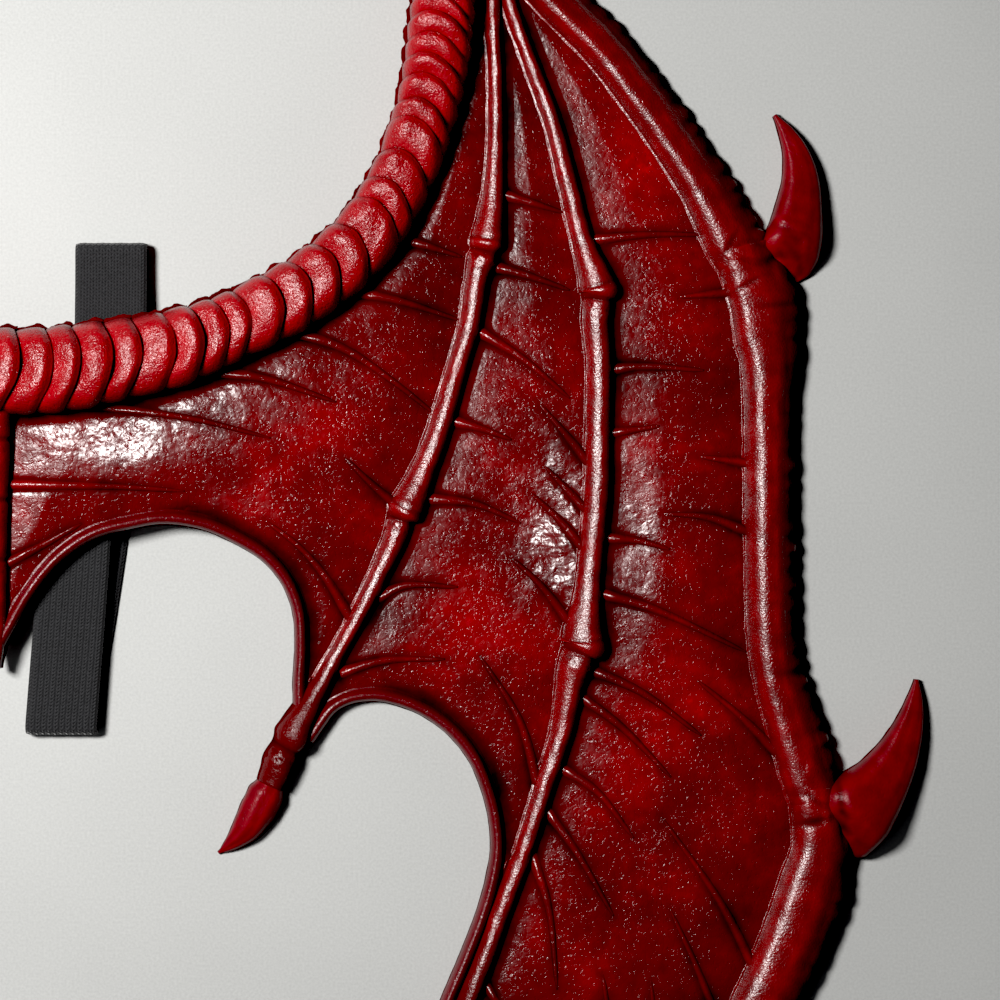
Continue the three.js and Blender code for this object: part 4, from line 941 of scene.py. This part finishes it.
class Look:
    """A node material whose nodes are joined as they are added."""

    def __init__(self, name, **sockets):
        self.material = bpy.data.materials.new(name)
        self.material.use_nodes = True
        self.tree = self.material.node_tree
        self.shader = self.tree.nodes["Principled BSDF"]
        for socket, value in sockets.items():
            self.shader.inputs[socket.replace("_", " ")].default_value = value
        self.place = self.add("ShaderNodeTexCoord").outputs["Object"]

    def feed(self, socket, value):
        if isinstance(value, bpy.types.NodeSocket):
            self.tree.links.new(value, socket)
        else:
            socket.default_value = value

    def add(self, kind, settings=(), **inputs):
        node = self.tree.nodes.new(kind)
        for key, value in dict(settings).items():
            setattr(node, key, value)
        for socket, value in inputs.items():
            self.feed(node.inputs[socket.replace("_", " ")], value)
        return node

    def mark(self, name):
        return self.add("ShaderNodeAttribute", {"attribute_name": name}).outputs["Fac"]

    def math(self, operation, a, b=0.0):
        node = self.add("ShaderNodeMath", {"operation": operation})
        self.feed(node.inputs[0], a)
        self.feed(node.inputs[1], b)
        return node.outputs[0]

    def plus(self, a, b):
        return self.math("ADD", a, b)

    def times(self, a, b):
        return self.math("MULTIPLY", a, b)

    def noise(self, size, detail=2.0, roughness=0.5, vector=None):
        """Noise with features about `size` millimetres wide."""
        node = self.add("ShaderNodeTexNoise", Vector=vector or self.place, Scale=1000 / size,
                        Detail=detail, Roughness=roughness)
        return node.outputs["Fac"]

    def cells(self, size, vector=None):
        """Distance to the edges of cells about `size` millimetres wide."""
        node = self.add("ShaderNodeTexVoronoi", {"feature": "DISTANCE_TO_EDGE"}, Vector=vector or self.place,
                        Scale=1000 / size)
        return node.outputs["Distance"]

    def ramp(self, value, stops):
        node = self.add("ShaderNodeValToRGB", Fac=value)
        elements = node.color_ramp.elements
        while len(elements) < len(stops):
            elements.new(0.5)
        for element, (place, colour) in zip(elements, stops):
            element.position = place
            element.color = colour if isinstance(colour, tuple) else (colour, colour, colour, 1)
        return node.outputs["Color"]

    def vector(self, operation, a, b):
        node = self.add("ShaderNodeVectorMath", {"operation": operation})
        self.feed(node.inputs[0], a)
        self.feed(node.inputs["Scale" if operation == "SCALE" else 1], b)
        return node.outputs[0]

    def warped(self, size, amount):
        """Places pushed about by noise, `amount` millimetres at most."""
        push = self.add("ShaderNodeTexNoise", Vector=self.place, Scale=1000 / size, Detail=2.0)
        centred = self.vector("SUBTRACT", push.outputs["Color"], (0.5, 0.5, 0.5))
        return self.vector("ADD", self.place, self.vector("SCALE", centred, amount / 500))

    def bumps(self, *layers):
        """Bump layers, each a height and how many millimetres its whole range is."""
        normal = None
        for height, depth in layers:
            node = self.add("ShaderNodeBump", Height=height, Distance=depth / 1000, Strength=1.0)
            if normal:
                self.feed(node.inputs["Normal"], normal)
            normal = node.outputs["Normal"]
        self.feed(self.shader.inputs["Normal"], normal)


WRINKLE_PITCH = 1.9  # distance between the wrinkles of a membrane
WRINKLE_SCALE = 2 * math.pi / 20 / (WRINKLE_PITCH / 1000)  # a wave texture has 20 radians for each unit
BLACKENED = (0.012, 0.0008, 0.0010, 1)
MAROON = (0.055, 0.0014, 0.0018, 1)
DEEP_RED = (0.15, 0.002, 0.003, 1)
RED = (0.30, 0.004, 0.006, 1)
BRIGHT_RED = (0.56, 0.008, 0.012, 1)
ARM_RED, ARM_BRIGHT = (0.25, 0.003, 0.006, 1), (0.52, 0.006, 0.014, 1)
HORN_RED, HORN_BRIGHT = (0.14, 0.002, 0.006, 1), (0.31, 0.003, 0.012, 1)
HEM_RED = (0.13, 0.002, 0.006, 1)


def paint(name, stops, grain, dots, roughness, bright=False, streaks=0.0, patch=0.5, depth=0.72, shine=0.5):
    """Glossy paint on foam with fine leathery dots, darker and duller where the shade mark is low: an
    airbrushed dark wash in the creases together with painted shade, which the shade mark also lays on flanks
    turned away from the lamp.
    """
    look = Look(name)
    shade = look.mark("shade")
    cloud = look.times(look.math("SUBTRACT", look.noise(28.0, 3.0, 0.55), 0.5), patch)
    small_cloud = look.times(look.math("SUBTRACT", look.noise(5.0, 3.0, 0.6), 0.5), 0.35)
    # The shade mark darkens the red: painted shade and dark wash, with airbrushed clouds of random tone on
    # top.
    tone = look.plus(look.times(shade, depth), look.plus(cloud, small_cloud))
    # The along mark lightens the red: airbrushed bright patches on the sheets, and painted highlight along
    # the veins.
    if bright:
        tone = look.plus(tone, look.times(look.mark("along"), 0.3))
    look.feed(look.shader.inputs["Base Color"], look.ramp(tone, stops))
    polish = look.ramp(look.noise(16.0, 2.0), [(0.36, 0.7), (0.6, 1.0)])
    gloss = look.times(look.ramp(shade, [(0.6, 0.0), (0.85, shine)]), polish)
    look.feed(look.shader.inputs["Specular IOR Level"], gloss)
    rough = look.ramp(look.noise(3.0, 3.0, 0.6), [(0.25, roughness - 0.06), (0.75, roughness + 0.08)])
    look.feed(look.shader.inputs["Roughness"], rough)
    sparse = look.ramp(look.noise(20.0, 2.0), [(0.44, 0.0), (0.64, 1.0)])
    dotted = look.ramp(look.noise(2.5, 3.0, 0.66), [(0.57, 0.0), (0.75, 1.0)])
    pitted = look.ramp(look.noise(1.3, 2.0, 0.5), [(0.30, 0.0), (0.42, 1.0)])
    leathery = look.ramp(look.cells(2.6, look.warped(3.0, 1.2)), [(0.0, 0.0), (0.25, 1.0)])
    layers = [(look.times(dotted, sparse), dots), (pitted, dots * 0.6), (leathery, dots * 0.2),
              (look.noise(0.75, 2.0, 0.6), grain)]
    if bright:
        wave = look.add("ShaderNodeTexWave", {"wave_profile": "SAW"}, Vector=look.place,
                        Scale=WRINKLE_SCALE, Distortion=7.0, Detail=2.0, Detail_Scale=0.9).outputs["Fac"]
        layers.insert(0, (look.times(wave, look.mark("around")), WRINKLE_PITCH))
    if streaks:
        vector = look.add("ShaderNodeCombineXYZ", X=look.times(look.mark("along"), 0.00022),
                          Y=look.times(look.mark("around"), 0.001)).outputs[0]
        layers.insert(0, (look.noise(0.9, 3.0, 0.6, vector), streaks))
    look.bumps(*layers)
    return look.material


PAINT = [(0.05, BLACKENED), (0.3, MAROON), (0.65, DEEP_RED), (0.9, RED), (1.0, BRIGHT_RED)]
ARM_PAINT = [(0.0, BLACKENED), (0.25, MAROON), (0.6, ARM_RED), (1.0, ARM_BRIGHT)]
HORN_PAINT = [(0.0, BLACKENED), (0.3, MAROON), (0.6, HORN_RED), (1.0, HORN_BRIGHT)]
HEM_PAINT = [(0.05, BLACKENED), (0.35, MAROON), (0.8, HEM_RED), (1.0, DEEP_RED)]
membrane_look = paint("membrane_paint", PAINT, grain=0.03, dots=0.15, roughness=0.24, bright=True,
                      patch=0.85, depth=0.575, shine=0.56)
bone_look = paint("bone_paint", PAINT, grain=0.20, dots=0.06, roughness=0.27, patch=0.3, shine=1.0)
arm_look = paint("arm_paint", ARM_PAINT, grain=0.26, dots=0.22, roughness=0.23, streaks=0.14, patch=0.35,
                 shine=0.62)
horn_look = paint("horn_paint", HORN_PAINT, grain=0.10, dots=0.06, roughness=0.34, patch=0.4, shine=0.22)
hem_look = paint("hem_paint", HEM_PAINT, grain=0.10, dots=0.10, roughness=0.30, patch=0.4)


def elastic():
    """Black knitted elastic: rows of small slanting stitches in ribs along the strap."""
    look = Look("black_elastic", Roughness=0.75, Sheen_Weight=0.35, Sheen_Roughness=0.4)
    rib = look.math("FRACT", look.math("DIVIDE", look.mark("around"), RIB_PITCH))
    folded = look.math("ABSOLUTE", look.math("SUBTRACT", rib, 0.5))
    wale = look.math("SINE", look.times(folded, 6.283))
    stitch = look.math("SINE", look.plus(look.times(look.mark("along"), 5.2), look.times(folded, 9.0)))
    height = look.plus(look.times(wale, 0.6), look.times(stitch, 0.4))
    # The black is a little lighter on the raised stitches and darker in the hollows between them: painted
    # shade.
    tone = look.plus(look.times(height, 0.25), look.noise(0.8, 2.0))
    stops = [(0.3, (0.004, 0.004, 0.005, 1)), (0.9, (0.022, 0.022, 0.025, 1))]
    look.feed(look.shader.inputs["Base Color"], look.ramp(tone, stops))
    look.bumps((height, 0.25), (look.noise(0.3, 2.0), 0.06))
    return look.material


strap_look = elastic()

for which, sheet in membranes.items():
    sheet.shape().objects(f"skin_{which}", f"membrane_{which}", "membrane_skin", membrane_look)

arm_shape().objects("scaled_arm", "arm", "arm_skin", arm_look)
wrist_shape().objects("wrist_knob", "wrist", "arm_skin", arm_look)


def high_of(route, height, fullness):
    return height * blend(fullness, 1, route.wide)


FINGER_GROOVES = {"inner": [7, 16.1, 24], "middle": [8, 17, 28]}
FINGER_COLLARS = {"inner": [7, 16.1], "middle": [8, 17]}
for which, route in (("inner", inner_finger), ("middle", middle_finger)):
    half = finger_half(route)
    # Fingers are darker and duller from four fifths of their length on, towards the claws.
    made = bone_shape(route, half, half, high_of(route, FINGER_HEIGHT, FINGER_FULLNESS), lip=(0.6, 0.6),
                      relief=finger_relief(FINGER_GROOVES[which], FINGER_COLLARS[which]),
                      row_tone_scale=blend(1, 0.66, smoothstep(route.share, 0.8, 0.9)))
    made.objects(f"bone_{which}", f"finger_{which}", "bone_skin", bone_look)


def run_on(rows, before, after):
    """A table whose line starts or ends a little further, to meet the next length under its skin."""
    def beyond(row, last):
        step = np.subtract(last[:2], row[:2]) * (HALF_SPAN, WING_HEIGHT)
        lap = step / np.linalg.norm(step) * JOINT_LAP / (HALF_SPAN, WING_HEIGHT)
        return (*(np.array(last[:2]) + lap), *last[2:])

    first = [beyond(rows[1], rows[0])] if before else []
    return first + rows + ([beyond(rows[-2], rows[-1])] if after else [])


leading_joints = ((False, True), (True, True), (True, False))
for rows, which, joints in zip(leading_tables, ("upper", "middle", "lower"), leading_joints):
    route = Route(run_on(rows, *joints), ["inner", "outer"], 0.7)
    height = np.full(len(route.length), LEADING_HEIGHT)
    if joints[1]:
        height *= blend(0.6, 1, smoothstep(route.length[-1] - route.length, 0, JOINT_LAP))
    steep = smoothstep(route.length, 0, 30) if which == "middle" else float(which == "lower")
    made = bone_shape(route, route.inner * LEADING_WIDTH, route.outer * LEADING_WIDTH, height,
                      lip=(0.3, 0.35), relief=leading_relief(*joints), points=37,
                      low_side=blend(0.36, 0.5, steep), folded=True)
    made.objects(f"leading_{which}", f"leading_bone_{which}", "bone_skin", bone_look)

for rows, which in ((UPPER_HORN_ROWS, "upper"), (LOWER_HORN_ROWS, "lower")):
    route = Route(rows, ["wide"], 0.6)
    half = route.wide * HORN_WIDTH / 2
    rooted = blend(0.3, 1, smoothstep(route.length, 0, 16))
    made = bone_shape(route, half, half, high_of(route, HORN_HEIGHT, HORN_FULLNESS) * rooted, power=3.4,
                      lip=(0.4, 0.4), relief=horn_relief, folded=True, lean=0.0)
    made.objects(f"horned_{which}", f"horn_{which}", "horn_skin", horn_look)

clawed = ((INNER_FINGER_ROWS, "inner"), (MIDDLE_FINGER_ROWS, "middle"), (LEADING_LOWER_ROWS, "outer"))
for rows, which in clawed:
    route = claw_route(rows)
    half = route.wide * CLAW_WIDTH / 2
    made = bone_shape(route, half, half, route.high * CLAW_HEIGHT, lip=(0.4, 0.4), relief=horn_relief,
                      lean=0.0)
    made.objects(f"clawed_{which}", f"claw_{which}", "horn_skin", horn_look)

for route, which in zip(hem_routes, ("inner", "middle", "outer")):
    half = np.full(len(route.length), HEM_WIDTH / 2)
    height = np.full(len(route.length), HEM_HEIGHT)
    made = bone_shape(route, half, half, height, power=2.2, lip=(0.3, 0.0), points=13)
    made.objects(f"rolled_{which}", f"hem_{which}", "hem_skin", hem_look)

half = spine_route.wide * SPINE_WIDTH / 2
height = high_of(spine_route, SPINE_HEIGHT, SPINE_FULLNESS)
made = bone_shape(spine_route, half, half, height, lip=(0.4, 0.4), relief=finger_relief([1.0, 2.0, 3.0]))
made.objects("back_ridge", "spine", "bone_skin", bone_look, sides=(1,))

strap_shape().objects("elastic_strap", "strap", "elastic", strap_look)


FLOOR_HALF = 3.0
FLOOR_TONES = [(0.3, (0.50, 0.505, 0.497, 1)), (0.7, (0.60, 0.605, 0.595, 1))]


def floor_object():
    mesh = bpy.data.meshes.new("floor")
    corners = [(x * FLOOR_HALF, y * FLOOR_HALF, 0) for x, y in ((-1, -1), (1, -1), (1, 1), (-1, 1))]
    mesh.from_pydata(corners, [], [(0, 1, 2, 3)])
    look = Look("floor_paint", Roughness=0.55, Specular_IOR_Level=0.3)
    tone = look.plus(look.times(look.noise(90.0, 2.0), 0.3), look.times(look.noise(0.9, 3.0), 0.7))
    look.feed(look.shader.inputs["Base Color"], look.ramp(tone, FLOOR_TONES))
    mesh.materials.append(look.material)
    floor = bpy.data.objects.new("floor", mesh)
    bpy.context.scene.collection.objects.link(floor)


floor_object()

AIM = Vector((0.175, 0.02765, 0.0))
BLACK_POINT = 0.012  # darkest linear value that the picture still shows


def area_light(name, offset, size, power, colour):
    light = bpy.data.lights.new(name, "AREA")
    light.shape = "DISK"
    light.size = size
    light.energy = power
    light.color = colour
    lamp = bpy.data.objects.new(name, light)
    lamp.location = AIM + Vector(offset)
    lamp.rotation_euler = (-Vector(offset)).to_track_quat("-Z", "Y").to_euler()
    bpy.context.scene.collection.objects.link(lamp)


area_light("key", offset=(-0.50, 0.17, 0.77), size=0.22, power=11.2, colour=(1.0, 0.99, 0.97))
area_light("fill", offset=(-0.75, -0.55, 0.9), size=0.8, power=0.5, colour=(0.97, 0.98, 1.0))

world = bpy.data.worlds.new("studio")
world.use_nodes = True
sky = world.node_tree.nodes["Background"].inputs
sky["Color"].default_value = (0.9, 0.94, 1.0, 1)
sky["Strength"].default_value = 0.02
bpy.context.scene.world = world
view = bpy.context.scene.view_settings
view.view_transform = "Standard"
view.use_curve_mapping = True
view.curve_mapping.black_level = (BLACK_POINT, BLACK_POINT, BLACK_POINT)
view.curve_mapping.update()

LENS, SENSOR = 110.0, 36.0
SEEN = 0.35  # width that the picture covers at the height of CAMERA_LIFT
CAMERA_LIFT = 0.006
camera_data = bpy.data.cameras.new("camera")
camera_data.lens = LENS
camera_data.sensor_width = SENSOR
camera = bpy.data.objects.new("camera", camera_data)
camera.location = AIM + Vector((0, 0, SEEN * LENS / SENSOR + CAMERA_LIFT))
bpy.context.scene.collection.objects.link(camera)
bpy.context.scene.camera = camera

bpy.context.view_layer.update()
